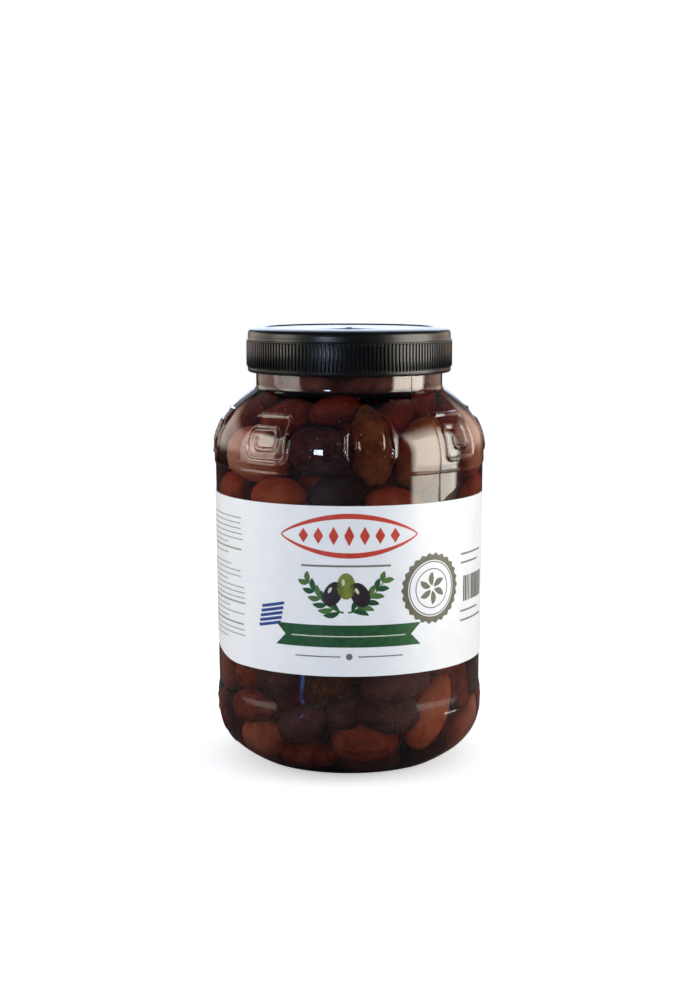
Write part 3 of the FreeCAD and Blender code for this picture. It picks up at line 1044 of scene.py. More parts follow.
@dataclass
class OliveHeap:
    """All the olives: those in known places, and the rest settled round them.

    Olives in known places give way to others only by grip, and spring is how much of the way home
    they go back in each round. Loose ones that end up deeper than bury in one of them are left out.
    """

    outline: Outline
    seed: int = 11
    loose: int = 172
    heart_radius: float = 36.0
    low_z: float = 8.0
    high_z: float = 180.0
    bury: float = 3.4
    clearance: float = 0.6
    swing: float = 1.12
    grip: float = 0.05
    spring: float = 0.3
    held_rounds: int = 240
    free_rounds: int = 20
    wall_rounds: int = 20
    push_share: float = 0.6
    heart_push: float = 0.25
    top_push: float = 0.5
    top_slack: float = 4.0
    end_ball: float = 0.82
    middle_ball: float = 0.98
    outer_share: float = 0.72
    outer_radius: float = 53.0
    inner_radius: float = 43.0
    length_mean: float = 28.5
    length_spread: float = 2.2
    width_mean: float = 18.8
    width_spread: float = 1.2
    tone_mean: float = -0.08
    tone_spread: float = 0.12
    kind_shares: tuple[float, ...] = (0.5, 0.33, 0.08, 0.09)
    slit_share: float = 0.12
    wall_samples: int = 500
    shown_grid: tuple[int, int] = (46, 60)
    loose_grid: tuple[int, int] = (20, 26)
    shape_seed: int = 1000
    fullness: tuple[float, float] = (0.02, 0.12)
    tip_length: tuple[float, float] = (0.6, 1.8)
    tip_reach: float = 0.35
    dent_share: float = 0.035
    side_dent_share: float = 0.03
    wrinkle_share: float = 0.006
    wrinkles: int = 9
    bluntness: float = 0.92
    scar_reach: float = 0.16
    scar_depth: float = 0.9
    slit_span: tuple[float, ...] = (0.7, 0.95, 2.2, 2.5)
    slit_half_width: float = 0.55
    slit_depth: float = 1.1
    bend_limit: float = 0.04

    def __post_init__(self) -> None:
        """Set up the random numbers and the inner wall that the olives lie against."""
        self.random = np.random.default_rng(self.seed)
        wall = self.outline.section(self.outline.wall + self.clearance, self.outline.lip_z)
        stations = np.linspace(0.0, along(wall)[-1], self.wall_samples)
        self.wall_points, self.wall_normals = resample(wall, stations)

    def wall_gap(self, radius: np.ndarray, z: np.ndarray) -> tuple[np.ndarray, np.ndarray]:
        """Distance inside the wall of points in the half section, and the way out.

        Args:
            radius: distance of each point from the axis.
            z: its height.

        Returns:
            Distance to the wall, less than 0 outside it, and the outward normal there.
        """
        offset = self.wall_points[None] - np.stack([radius, z], axis=1)[:, None]
        nearest = np.hypot(offset[..., 0], offset[..., 1]).argmin(axis=1)
        normal = self.wall_normals[nearest]
        gap = np.einsum("ij,ij->i", offset[np.arange(len(radius)), nearest], normal)
        return gap, normal

    def lay_shown(self) -> tuple[np.ndarray, np.ndarray]:
        """Lay the olives of known place against the wall, turned by their lean and dip.

        Azimuths are taken a little further round, as the wall and the brine make what lies in them
        look nearer the front.

        Returns:
            Their centres and their axes.
        """
        az = np.radians([p.azimuth * self.swing for p in SHOWN])
        z = np.array([p.z for p in SHOWN], dtype=float)
        lean = np.radians([p.lean for p in SHOWN])[:, None]
        dip = np.radians([p.dip for p in SHOWN])[:, None]
        half = np.array([p.width for p in SHOWN])[:, None] / 2
        side = self.wall_points[:, 0] > self.outline.standing_radius + 1.0
        wall_z = self.wall_points[side, 1]
        touch, slope = (np.stack([np.interp(z, wall_z, part[side, i]) for i in (0, 1)], axis=1)
                        for part in (self.wall_points, self.wall_normals))
        outward = np.stack([np.sin(az), -np.cos(az), 0 * az], axis=1)
        right = np.stack([np.cos(az), np.sin(az), 0 * az], axis=1)
        up = np.array([0.0, 0.0, 1.0])
        normal = slope[:, :1] * outward + slope[:, 1:] * up
        rise = np.cross(normal, right)
        flat_axis = np.cos(lean) * rise + np.sin(lean) * right
        axis = np.cos(dip) * flat_axis + np.sin(dip) * normal
        depth = half * np.cos(dip) + np.array([p.length for p in SHOWN])[:, None] / 2 * np.abs(np.sin(dip))
        return outward * touch[:, :1] + up * touch[:, 1:] - normal * depth, axis

    def scatter_loose(self) -> tuple[np.ndarray, np.ndarray]:
        """Scatter the other olives in two layers behind the wall, lying mostly along it.

        Returns:
            Their centres and their axes.
        """
        share = self.random.uniform(0.0, 1.0, self.loose)
        z = self.low_z + (self.high_z - self.low_z) * share
        az = self.random.uniform(-np.pi, np.pi, self.loose)
        outer = self.random.uniform(size=self.loose) < self.outer_share
        radius = np.where(outer, self.outer_radius, self.inner_radius)
        radius = radius * np.interp(z, [0.0, 20.0, 150.0, 175.0], [0.75, 1.0, 1.0, 0.8])
        centre = np.stack([radius * np.sin(az), -radius * np.cos(az), z], axis=1)
        axis = self.random.normal(size=(self.loose, 3))
        outward = centre * [1, 1, 0] / radius[:, None]
        axis -= 0.75 * outward * np.einsum("ij,ij->i", axis, outward)[:, None]
        axis /= np.linalg.norm(axis, axis=1, keepdims=True)
        return centre, axis

    def start(self) -> None:
        """Give every olive a centre, an axis, a size and a kind before they settle.

        The random numbers are drawn in a fixed order, places first, so that each run gives the same.
        """
        shown_centre, shown_axis = self.lay_shown()
        loose_centre, loose_axis = self.scatter_loose()
        self.centre = np.concatenate([shown_centre, loose_centre])
        self.axis = np.concatenate([shown_axis, loose_axis])
        lengths = self.random.normal(self.length_mean, self.length_spread, self.loose)
        widths = self.random.normal(self.width_mean, self.width_spread, self.loose)
        tones = self.random.normal(self.tone_mean, self.tone_spread, self.loose)
        self.length = np.concatenate([[p.length for p in SHOWN], lengths])
        self.width = np.concatenate([[float(p.width) for p in SHOWN], widths])
        self.tone = np.concatenate([[p.tone for p in SHOWN], tones])
        names = list(Kind)
        picks = self.random.choice(len(names), self.loose, p=self.kind_shares)
        self.kind = [p.kind for p in SHOWN] + [names[i] for i in picks]
        slits = self.random.uniform(size=self.loose) < self.slit_share
        self.slit = np.array([p.slit for p in SHOWN] + list(slits))
        shown = len(SHOWN)
        self.give = np.concatenate([np.full(shown, self.grip), np.ones(self.loose)])
        self.home = self.centre.copy()
        self.home_axis = self.axis.copy()
        self.pull = np.concatenate([np.full(shown, self.spring), np.zeros(self.loose)])[:, None]

    def ball_centres(self) -> np.ndarray:
        """Centres of three balls for each olive: near one end, in the middle and near the other end."""
        end = (self.length / 2 - self.width / 2 * self.end_ball)[:, None]
        return np.stack([self.centre - self.axis * end, self.centre, self.centre + self.axis * end], axis=1)

    def pushed_apart(self, flat: np.ndarray, limit: np.ndarray, share: np.ndarray,
                     other: np.ndarray) -> np.ndarray:
        """Moves that part the balls of different olives that overlap.

        Args:
            flat: ball centres, one a row.
            limit: sum of the radii of each pair.
            share: part of a pair's overlap that the first ball of it gives way.
            other: True for pairs of different olives.

        Returns:
            One move for each ball: the sum of overlap x share, away from the balls it overlaps.
        """
        offset = flat[:, None] - flat[None, :]
        distance = np.sqrt(np.einsum("ijk,ijk->ij", offset, offset)) + 1e-6
        overlap = np.where(other, np.clip(limit - distance, 0.0, None), 0.0)
        return (offset * (overlap * share / distance)[..., None]).sum(axis=1)

    def settle(self) -> None:
        """Push the olives apart and inside the wall until they only touch.

        Each olive is three balls along its axis. Balls of two olives that overlap, and balls that
        reach past the wall or into the heart, are moved by a share of what they overlap; the mean of
        the balls and the direction between the end balls then give the olive's new place. Olives of
        known place are pulled home in the first rounds, and in the last ones only the wall pushes.
        """
        number = len(self.centre)
        half_width = self.width / 2
        balls = np.stack([half_width * self.end_ball, half_width * self.middle_ball,
                          half_width * self.end_ball], axis=1)
        owner = np.repeat(np.arange(number), 3)
        size = balls.reshape(-1)
        limit = size[:, None] + size[None, :]
        other = owner[:, None] != owner[None, :]
        give = self.give[owner]
        share = give[:, None] / (give[:, None] + give[None, :])
        last = self.held_rounds + self.free_rounds
        for turn in range(last + self.wall_rounds):
            pull = self.pull if turn < self.held_rounds else 0.0
            flat = self.ball_centres().reshape(-1, 3)
            parted = self.pushed_apart(flat, limit, share, other)
            push = parted * (self.push_share if turn < last else 0.0)
            radius = np.hypot(flat[:, 0], flat[:, 1]) + 1e-6
            gap, normal = self.wall_gap(radius, flat[:, 2])
            out = np.clip(size - gap, 0.0, None)
            radial = flat[:, :2] / radius[:, None]
            push[:, :2] -= radial * (normal[:, :1] * out[:, None])
            push[:, 2] -= normal[:, 1] * out
            too_high = np.clip(flat[:, 2] + size - self.high_z - self.top_slack, 0.0, None)
            push[:, 2] -= self.top_push * too_high
            inward = np.clip(self.heart_radius - radius, 0.0, None) * (give > 0.5)
            push[:, :2] += self.heart_push * radial * inward[:, None]
            moved = (flat + push).reshape(number, 3, 3)
            self.centre = moved.mean(axis=1)
            self.centre += pull * (self.home - self.centre)
            direction = moved[:, 2] - moved[:, 0]
            direction /= np.linalg.norm(direction, axis=1, keepdims=True)
            direction += pull * (self.home_axis - direction)
            self.axis = direction / np.linalg.norm(direction, axis=1, keepdims=True)
        self.hidden = self.buried(size)

    def buried(self, size: np.ndarray) -> np.ndarray:
        """Tell which loose olives sink too far into one that lies in a known place.

        Args:
            size: radius of every ball, three for each olive.

        Returns:
            True for each olive to leave out.
        """
        flat = self.ball_centres().reshape(-1, 3)
        fixed = 3 * len(SHOWN)
        distance = np.linalg.norm(flat[:, None] - flat[None, :fixed], axis=2)
        overlap = (size[:, None] + size[None, :fixed] - distance).max(axis=1)
        deep = overlap.reshape(-1, 3).max(axis=1) > self.bury
        deep[:len(SHOWN)] = False
        return deep

    def olive(self, index: int, rows: int, cols: int) -> tuple[np.ndarray, np.ndarray, np.ndarray]:
        """Make the surface of one olive.

        Along the axis x = -a cos(t), with a small tip added near the far end; across it the radius is
        b sin(t)^bluntness, fuller towards the stem, with slow dents and fine wrinkles. Both bend along a
        shallow parabola. A slit is a groove in the skin along one side.

        Args:
            index: number of the olive.
            rows: rings between its poles.
            cols: points in a ring.

        Returns:
            Grid of points, its two poles, and a value that is 1 in the slit and at the stem scar.
        """
        rng = np.random.default_rng(self.shape_seed + index)
        a, b = self.length[index] / 2, self.width[index] / 2
        t = np.linspace(0.0, np.pi, rows + 2)[:, None]
        p = np.linspace(0.0, 2 * np.pi, cols + 1)[None, :-1]
        full = rng.uniform(*self.fullness)
        tip = rng.uniform(*self.tip_length)
        x = -a * np.cos(t) + tip * np.exp(-((np.pi - t) / self.tip_reach) ** 2)
        phase = rng.uniform(0, 2 * np.pi, 6)
        dent = self.dent_share * np.sin(2 * p + phase[0] + t)
        dent = dent + self.side_dent_share * np.sin(3 * t + phase[1]) * np.cos(p + phase[2])
        folds = np.sin(self.wrinkles * p + 2 * np.sin(2 * t + phase[3]) + phase[4])
        wrinkle = self.wrinkle_share * folds * np.sin(t) ** 2
        radius = b * np.sin(t) ** self.bluntness * (1 + full * np.cos(t) + dent * np.sin(t) + wrinkle)
        scar = np.exp(-(t / self.scar_reach) ** 2) + 0 * p
        x = x + self.scar_depth * scar
        groove = 0 * t * p
        if self.slit[index]:
            off = (p - phase[5] + np.pi) % (2 * np.pi) - np.pi
            near, full_depth, fading, far = self.slit_span
            groove = np.exp(-(off * b / self.slit_half_width) ** 2) * smooth(near, full_depth, t)
            groove = groove * (1 - smooth(fading, far, t))
            radius = radius - self.slit_depth * groove
        bend = rng.uniform(-self.bend_limit, self.bend_limit) * (x / a) ** 2 * a
        local = np.stack([x + 0 * p, radius * np.cos(p) + bend, radius * np.sin(p) + 0 * x], axis=-1)
        axis = self.axis[index]
        side = np.cross(axis, rng.normal(size=3))
        side /= np.linalg.norm(side)
        turn = np.stack([axis, side, np.cross(axis, side)])
        points = local @ turn + self.centre[index]
        mark = np.clip(groove + scar, 0.0, 1.0)
        return points[1:-1], points[[0, -1]].mean(axis=1), mark[1:-1]

    def build(self) -> dict[Kind, bpy.types.Object]:
        """Settle the olives and make one mesh of each kind.

        Returns:
            The meshes by kind.
        """
        self.start()
        self.settle()
        shapes = {kind: Shape() for kind in Kind}
        for index, kind in enumerate(self.kind):
            if self.hidden[index]:
                continue
            grid = self.shown_grid if index < len(SHOWN) else self.loose_grid
            points, poles, mark = self.olive(index, *grid)
            # painted shade: darker in the slit's groove and the stem scar's hollow, and on olives high up
            # under the shoulder
            tone = self.tone[index] - 0.5 * mark - 0.25 * smooth(160.0, 176.0, points[..., 2])
            shapes[kind].grid(points, wrap=True, poles=poles, tone=tone)
        return {kind: shape.to_object("olives_" + kind.value) for kind, shape in shapes.items()}

    def dress(self, pieces: dict[Kind, bpy.types.Object]) -> None:
        """Give each kind its skin."""
        for kind, piece in pieces.items():
            place(piece, SKINS[kind].material(), "olives_in_brine")


@dataclass
class Bubbles:
    """Beads of air that cling to the inside of the wall in the upper part of the jar."""

    outline: Outline
    count: int = 170
    seed: int = 5
    depth: float = 1.75
    upper_share: float = 0.75
    upper_z: tuple[float, float] = (146, 176)
    lower_z: tuple[float, float] = (18, 50)
    radii: tuple[float, float] = (0.18, 0.42)

    def build(self) -> bpy.types.Object:
        """Make the beads as small spheres, x = c + r n, crowded towards the shoulder.

        Returns:
            All the beads as one mesh.
        """
        shape = Shape()
        rng = np.random.default_rng(self.seed)
        wall = self.outline.section(self.depth, self.outline.neck_foot_z)
        z = np.where(rng.uniform(size=self.count) < self.upper_share, rng.uniform(*self.upper_z, self.count),
                     rng.uniform(*self.lower_z, self.count))
        keep = wall[:, 1] > self.outline.base_dome + 3
        radius = np.interp(z, wall[keep][:, 1], wall[keep][:, 0])
        centre = turned(radius, z, rng.uniform(-180, 180, self.count))
        t = np.linspace(0, np.pi, 7)[1:-1, None]
        p = np.linspace(0, 2 * np.pi, 9)[None, :-1]
        ball = np.stack([np.sin(t) * np.cos(p), np.sin(t) * np.sin(p), np.cos(t) + 0 * p], axis=-1)[::-1]
        sizes = rng.uniform(*self.radii, self.count)
        for middle, size in zip(centre, sizes):
            poles = middle + np.array([(0, 0, -size), (0, 0, size)])
            shape.grid(middle + ball * size, wrap=True, poles=poles)
        return shape.to_object("air_bubbles")

    def dress(self, piece: bpy.types.Object) -> None:
        """Silver beads."""
        place(piece, AirBubble().material(), "olives_in_brine")


# ------------------------------------------------------------------ cap

@dataclass
class ScrewCap:
    """Black screw cap: flat top in a raised rim, rounded shoulder, ribbed skirt and plain foot."""

    top_z: float = 206.44
    rim_rise: float = 0.6
    rim_width: float = 1.1
    tip_radius: float = 49.1
    rib_rise: float = 0.65
    ledge: float = 0.7
    shoulder_spread: float = 6.6
    shoulder_fall: float = 5.0
    shoulder_sag: float = 0.9
    skirt_height: float = 15.4
    foot_height: float = 2.3
    edge_chamfer: float = 0.6
    bore_radius: float = 46.95
    plate: float = 1.8
    gate_radius: float = 1.3
    gate_rise: float = 0.35
    gate_flank: float = 0.4
    flat_radius: float = 24.0
    bore_lead: float = 0.3
    corner: float = 0.12
    rib_gap: float = 0.5
    rib_start: float = 0.35
    rib_full: float = 0.8
    rib_end: float = 0.3
    rib_flank: tuple[float, float] = (0.35, 0.65)
    rib_roundness: float = 0.06
    ribs: int = 164
    columns_per_rib: int = 8

    def section(self) -> tuple[np.ndarray, np.ndarray]:
        """Half section of the outside and the bore, and how far the ribs show at each point.

        Returns:
            Rows of (radius, height) from the bore's centre round the foot and over the top, and the
            share of the ribs' rise at each.
        """
        root = self.tip_radius - self.rib_rise
        rim_z = self.top_z + self.rim_rise
        ledge_z = self.top_z - self.shoulder_fall
        foot_z = ledge_z - self.skirt_height
        rim = self.tip_radius - self.ledge - self.shoulder_spread
        shoulder_radius = self.tip_radius - self.ledge
        rib_low, rib_high = foot_z + self.foot_height, ledge_z - self.rib_gap
        inside = [(1.0, self.top_z - self.plate), (30.0, self.top_z - self.plate),
                  (self.bore_radius, self.top_z - self.plate), (self.bore_radius, foot_z + self.bore_lead),
                  (self.bore_radius + self.bore_lead, foot_z)]
        foot = [(root - self.edge_chamfer, foot_z), (root - 0.15, foot_z + self.edge_chamfer * 0.6),
                (root, foot_z + self.edge_chamfer + 0.3), (root, rib_low - self.rib_start)]
        skirt = [(root, z) for z in (rib_low, rib_low + self.rib_start, rib_low + self.rib_full,
                                     (rib_low + rib_high) / 2,
                                     rib_high - self.rib_full, rib_high - self.rib_end, rib_high)]
        tip = root + self.rib_rise
        ledge = [(tip, rib_high + self.corner), (tip, ledge_z - self.corner), (tip - self.corner, ledge_z),
                 (shoulder_radius + 0.1, ledge_z)]
        shoulder = bezier([(shoulder_radius, ledge_z + 0.1), (shoulder_radius, rim_z - self.shoulder_sag),
                           (shoulder_radius, rim_z - self.shoulder_sag), (rim + 0.25, rim_z)], 14)
        edge = [(rim - 0.2, rim_z + 0.02), (rim - self.rim_width + 0.15, rim_z),
                (rim - self.rim_width - 0.1, rim_z - self.corner),
                (rim - self.rim_width - 0.5, self.top_z + 0.05),
                (rim - self.rim_width - 0.8, self.top_z), (self.flat_radius, self.top_z),
                (self.gate_radius + self.gate_flank, self.top_z),
                (self.gate_radius, self.top_z + self.gate_rise), (0.5, self.top_z + self.gate_rise)]
        points = np.array(inside + foot + skirt + ledge + [tuple(p) for p in shoulder] + edge)
        share = np.zeros(len(points))
        first = len(inside) + len(foot)
        share[first + 1:first + 6] = (0.55, 1.0, 1.0, 1.0, 0.55)
        return points, share

    def build(self) -> bpy.types.Object:
        """Make the cap as one closed surface; a rib's outline is a rounded cosine of the azimuth.

        Returns:
            The cap.
        """
        points, share = self.section()
        columns = self.ribs * self.columns_per_rib
        azimuth = (np.arange(columns)[None, :] + 0.5) * 360.0 / columns
        wave = 0.5 + 0.5 * np.cos(np.radians(azimuth) * self.ribs)
        rib = (1 - self.rib_roundness) * smooth(*self.rib_flank, wave) + self.rib_roundness * wave
        rib = rib * self.rib_rise
        radius = points[:, :1] + share[:, None] * rib
        shape = Shape()
        low, high = points[0, 1], points[-1, 1]
        shape.grid(turned(radius, points[:, 1:] + 0 * azimuth, azimuth + 0 * radius), wrap=True,
                   poles=[(0.0, 0.0, low), (0.0, 0.0, high)])
        return shape.to_object("screw_cap", sharp=50.0)

    def dress(self, piece: bpy.types.Object) -> None:
        """Black moulded plastic."""
        place(piece, MouldedPolypropylene().material(), "cap_plastic", "cap")


# ------------------------------------------------------------------ label

@dataclass
class Label:
    """Wrap-round paper label whose end overlaps its start on the left, with a trimmed lower corner."""

    outline: Outline
    rise: float = 13.9
    drop: float = 13.3
    gap: float = 0.03
    thickness: float = 0.22
    seam_azimuth: float = -98.0
    overlap: float = 9.0
    trim_start: float = -54.0
    trim_rise: float = 5.2
    trim_flat: float = 8.0
    seam_ease: float = 2.5
    tuck: float = 0.02
    back_share: float = 0.9
    ink_rise: float = 0.06
    rows: int = 24
    columns: int = 400

    @property
    def low_z(self) -> float:
        """Lower edge."""
        return self.outline.panel_foot_z + self.rise

    @property
    def high_z(self) -> float:
        """Upper edge."""
        return self.outline.panel_top_z - self.drop

    def lower_edge(self, azimuth: np.ndarray) -> np.ndarray:
        """Height of the lower edge: level, but trimmed upwards from trim_start to the label's end."""
        share = smooth(self.trim_start, self.seam_azimuth + self.trim_flat, azimuth)
        return self.low_z + self.trim_rise * share

    def surface(self, azimuth: np.ndarray, z: np.ndarray, lift: float = 0.0) -> np.ndarray:
        """Points on the label's face.

        Args:
            azimuth: degrees from the front; past a full turn it lies on the label's own start.
            z: height.
            lift: further distance out from the paper.

        Returns:
            Points at the panel's radius + gap + paper + lift + a faint waver of two sines.
        """
        turn = np.radians(azimuth)
        waver = 0.05 * np.sin(turn * 7 + z / 19.0) + 0.03 * np.sin(z / 6.0 + turn * 3)
        radius = self.outline.panel_radius(z) + self.gap + self.thickness + lift + waver
        end = self.seam_azimuth + self.overlap
        over = smooth(end + self.seam_ease, end, azimuth)
        return turned(radius + over * self.thickness, z, azimuth)

    def build(self) -> bpy.types.Object:
        """Make the paper as one closed band.

        Its section is a loop of rows: up the face and down the back. It runs once round the jar and
        on over its own start by the overlap.

        Returns:
            The label.
        """
        last = self.seam_azimuth + 360.0
        azimuth = np.linspace(self.seam_azimuth, last + self.overlap, self.columns)[None, :]
        under = smooth(last - self.seam_ease, last, azimuth)
        rows = np.linspace(0.0, 1.0, self.rows)[:, None]
        low = self.lower_edge(azimuth)
        z = low + (self.high_z - low) * rows
        face = self.surface(azimuth + 0 * z, z, lift=0.0)
        outward = turned(np.ones_like(z), 0 * z, azimuth + 0 * z)
        face = face - outward * (under * self.tuck)[..., None]
        back = face[::-1] - outward[::-1] * (self.thickness * self.back_share)
        loop = np.concatenate([face, back])
        shape = Shape()
        shape.grid(loop.transpose(1, 0, 2)[::-1], wrap=True,
                   poles=[loop[:, -1].mean(axis=0), loop[:, 0].mean(axis=0)])
        return shape.to_object("label_paper", sharp=40.0)

    def dress(self, piece: bpy.types.Object) -> None:
        """White coated paper."""
        place(piece, CoatedPaper().material(), "label_paper", "label")


@dataclass
class Print:
    """Printed shapes on the label, each colour one thin film that follows the paper.

    Patches are laid out flat: across is the arc in millimetres to the right of the front, up is
    the height above the middle of the label.
    """

    label: Label
    shapes: dict[str, Shape] = field(default_factory=dict)
    inks: dict[str, tuple[str, str]] = field(default_factory=lambda: {
        "red": ("#cf3d22", "#bf3219"),
        "green": ("#14592c", "#0f4a24"),
        "leaf": ("#4f7a34", "#41692b"),
        "fruit_dark": ("#33242e", "#241820"),
        "fruit_light": ("#7d8a2c", "#6a7823"),
        "glint": ("#cdd3c2", "#c0c8b4"),
        "blue": ("#20489a", "#1a3c86"),
        "seal": ("#605e4c", "#545242"),
        "grey": ("#7b7b74", "#6c6c66"),
        "rules": ("#a3a59a", "#94968b"),
        "bars": ("#4a463c", "#3c3930"),
    })
    rule_height: float = 0.55
    banner_half: float = 32.0
    banner_up: float = 25.5
    banner_bow: float = 9.0
    lozenges: int = 7
    lozenge_gap: float = 7.0
    twig_middle: float = -1.5
    twig_spread: float = 17.0
    twig_foot: float = -9.5
    twig_height: float = 15.0
    twig_leaf_pairs: int = 6
    ribbon_ends: tuple[float, float] = (-35.0, 34.0)
    ribbon_foot: float = -25.6
    ribbon_height: float = 10.2
    ribbon_notch: float = 5.0
    stripe_count: int = 5
    stripe_tilt: float = 12.0
    seal_centre: tuple[float, float] = (40.5, -0.5)
    seal_radius: float = 16.0
    seal_scallops: int = 26
    seal_leaves: int = 6
    seed: int = 3
    column_left: float = -92.0
    column_top: float = 30.0
    column_foot: float = -29.0
    column_gap: tuple[float, float] = (7.5, 12.5)
    line_pitch: float = 2.5
    bars_left: float = 62.5
    bars_right: float = 84.0
    bars_foot: float = -9.7
    bars_height: float = 12.1

    def patch(self, ink: str, across: np.ndarray, up: np.ndarray, layer: int = 0) -> None:
        """Lay a grid of flat points on the label.

        Args:
            ink: name of the colour.
            across: rows x columns of arc lengths.
            up: rows x columns of heights above the label's middle.
            layer: how many films lie below this one.
        """
        middle = (self.label.low_z + self.label.high_z) / 2
        z = middle + up
        azimuth = np.degrees(across / self.label.outline.panel_radius(z))
        lift = self.label.ink_rise * (1 + layer)
        points = self.label.surface(azimuth, z, lift)
        self.shapes.setdefault(ink, Shape()).grid(points)

    def band(self, ink: str, line: np.ndarray, half: np.ndarray, layer: int = 0) -> None:
        """Stripe of changing width along a line.

        Args:
            ink: name of the colour.
            line: rows of (across, up) along the stripe's middle.
            half: half the width at each of them.
            layer: how many films lie below this one.
        """
        tangent = np.gradient(line, axis=0)
        tangent /= np.linalg.norm(tangent, axis=1, keepdims=True)
        normal = np.stack([-tangent[:, 1], tangent[:, 0]], axis=1)
        side = np.linspace(-1.0, 1.0, 5)[:, None, None]
        points = line[None] + side * (normal * np.asarray(half)[:, None])[None]
        self.patch(ink, points[..., 0], points[..., 1], layer)

    def box(self, ink: str, left: float, low: float, width: float, height: float,
            tilt: float = 0.0, layer: int = 0) -> None:
        """Straight bar, turned about its lower left corner.

        Args:
            ink: name of the colour.
            left: its corner across.
            low: its corner's height above the label's middle.
            width: its length before it is turned.
            height: its thickness.
            tilt: turn in degrees.
            layer: how many films lie below this one.
        """
        columns = max(2, int(width / 2.0) + 2)
        x, y = np.meshgrid(np.linspace(0, width, columns), np.linspace(0, height, 3))
        turn = math.radians(tilt)
        self.patch(ink, left + x * math.cos(turn) - y * math.sin(turn),
                   low + x * math.sin(turn) + y * math.cos(turn), layer)

    def disc(self, ink: str, centre: tuple[float, float], radii: tuple[float, float],
             tilt: float = 0.0, inner: float = 0.0, scallops: int = 0, depth: float = 0.0,
             layer: int = 0) -> None:
        """Ellipse or ring, round or scalloped: r = 1 + depth cos(scallops x angle) at the rim.

        Args:
            ink: name of the colour.
            centre: its middle, across and up.
            radii: its half axes.
            tilt: turn of the first half axis in degrees.
            inner: share of the radius that is left open.
            scallops: lobes round the rim.
            depth: share of the radius that the lobes take.
            layer: how many films lie below this one.
        """
        angle = np.linspace(0, 2 * np.pi, max(64, scallops * 12) + 1)[None, :]
        share = np.linspace(1.0, max(inner, 0.001), 5)[:, None]
        rim = 1.0 + depth * np.cos(scallops * angle) * smooth(inner, 1.0, share)
        x = share * rim * np.cos(angle) * radii[0]
        y = share * rim * np.sin(angle) * radii[1]
        turn = math.radians(tilt)
        self.patch(ink, centre[0] + x * math.cos(turn) - y * math.sin(turn),
                   centre[1] + x * math.sin(turn) + y * math.cos(turn), layer)

    def leaf(self, ink: str, root: tuple[float, float], length: float, tilt: float, width: float) -> None:
        """Pointed leaf: half width is w sin(pi s)^0.8 along a slightly bowed middle line.

        Args:
            ink: name of the colour.
            root: where it starts, across and up.
            length: its length.
            tilt: its direction in degrees.
            width: its greatest width.
        """
        s = np.linspace(0.0, 1.0, 16)
        turn = math.radians(tilt)
        x, y = s * length, 0.10 * length * np.sin(np.pi * s)
        line = np.stack([root[0] + x * math.cos(turn) - y * math.sin(turn),
                         root[1] + x * math.sin(turn) + y * math.cos(turn)], axis=1)
        self.band(ink, line, width / 2 * np.maximum(np.sin(np.pi * s), 0.0) ** 0.8 + 0.02)

    def banner(self) -> None:
        """Red banner at the top: an open pointed oval with a row of lozenges inside."""
        s = np.linspace(0.0, 1.0, 60)
        for sign in (1, -1):
            line = np.stack([self.banner_half * (2 * s - 1),
                             self.banner_up + sign * self.banner_bow * np.sin(np.pi * s) ** 0.75], axis=1)
            self.band("red", line, 0.3 + 0.9 * np.sin(np.pi * s))
        t = np.linspace(-1.0, 1.0, 12)
        middle = (self.lozenges - 1) / 2
        for number in range(self.lozenges):
            across = (number - middle) * self.lozenge_gap
            reach = 4.6 - 0.42 * abs(number - middle)
            line = np.stack([0 * t + across, self.banner_up + reach * t], axis=1)
            self.band("red", line, 2.3 * (1 - np.abs(t)) + 0.02)
        self.box("grey", -22.0, 11.3, 41.0, 0.9)

    def twig(self, sign: int, share: np.ndarray | float) -> tuple[np.ndarray | float, np.ndarray | float]:
        """Point on a twig: across runs evenly outwards, up grows as share^1.6."""
        across = sign * (1.0 + self.twig_spread * share) + self.twig_middle
        return across, self.twig_foot + self.twig_height * share ** 1.6

    def branches(self) -> None:
        """Two leafy twigs that rise from the middle and lean apart, with three olives between."""
        s = np.linspace(0.0, 1.0, 30)
        for sign in (1, -1):
            self.band("leaf", np.stack(self.twig(sign, s), axis=1), 0.45 - 0.2 * s)
            for number in range(self.twig_leaf_pairs):
                at = (number + 0.6) / self.twig_leaf_pairs
                x, y = self.twig(sign, at)
                lean = 18.0 + 32.0 * at
                for side in (34.0, -34.0):
                    tilt = lean + side if sign > 0 else 180.0 - lean - side
                    self.leaf("leaf" if number % 2 else "green", (x, y), 8.2 - 3.0 * at, tilt, 2.6)
        for x, y, ink, tilt in ((-7.4, -1.0, "fruit_dark", 62.0), (4.8, -1.4, "fruit_dark", 118.0),
                                (-1.4, 2.6, "fruit_light", 90.0)):
            self.disc(ink, (x, y), (6.0, 4.1), tilt, layer=1)
            self.disc("glint", (x - 1.3, y + 1.8), (1.5, 0.7), tilt, layer=2)

    def title(self) -> None:
        """Green ribbon with swallow-tail ends, and thin rules below it."""
        s = np.linspace(0.0, 1.0, 40)[None, :]
        share = np.linspace(0.0, 1.0, 9)[:, None]
        inset = self.ribbon_notch * (1 - np.abs(2 * share - 1))
        left, right = self.ribbon_ends[0] + inset, self.ribbon_ends[1] - inset
        x = left + (right - left) * s
        y = self.ribbon_foot + self.ribbon_height * share + 0 * x
        self.patch("green", x, y)
        self.box("glint", -27.0, -20.8, 53.0, self.rule_height, layer=1)
        for left_end in (-25.0, 4.0):
            self.box("grey", left_end, -30.2, 21.0, self.rule_height)
        self.disc("grey", (0.0, -29.9), (1.5, 1.5), 45.0)

    def stripes(self) -> None:
        """Small tilted patch of blue stripes at the left."""
        for number in range(self.stripe_count):
            self.box("blue", -44.6 + 0.45 * number, -18.6 + 2.25 * number, 12.6, 1.4, tilt=self.stripe_tilt)

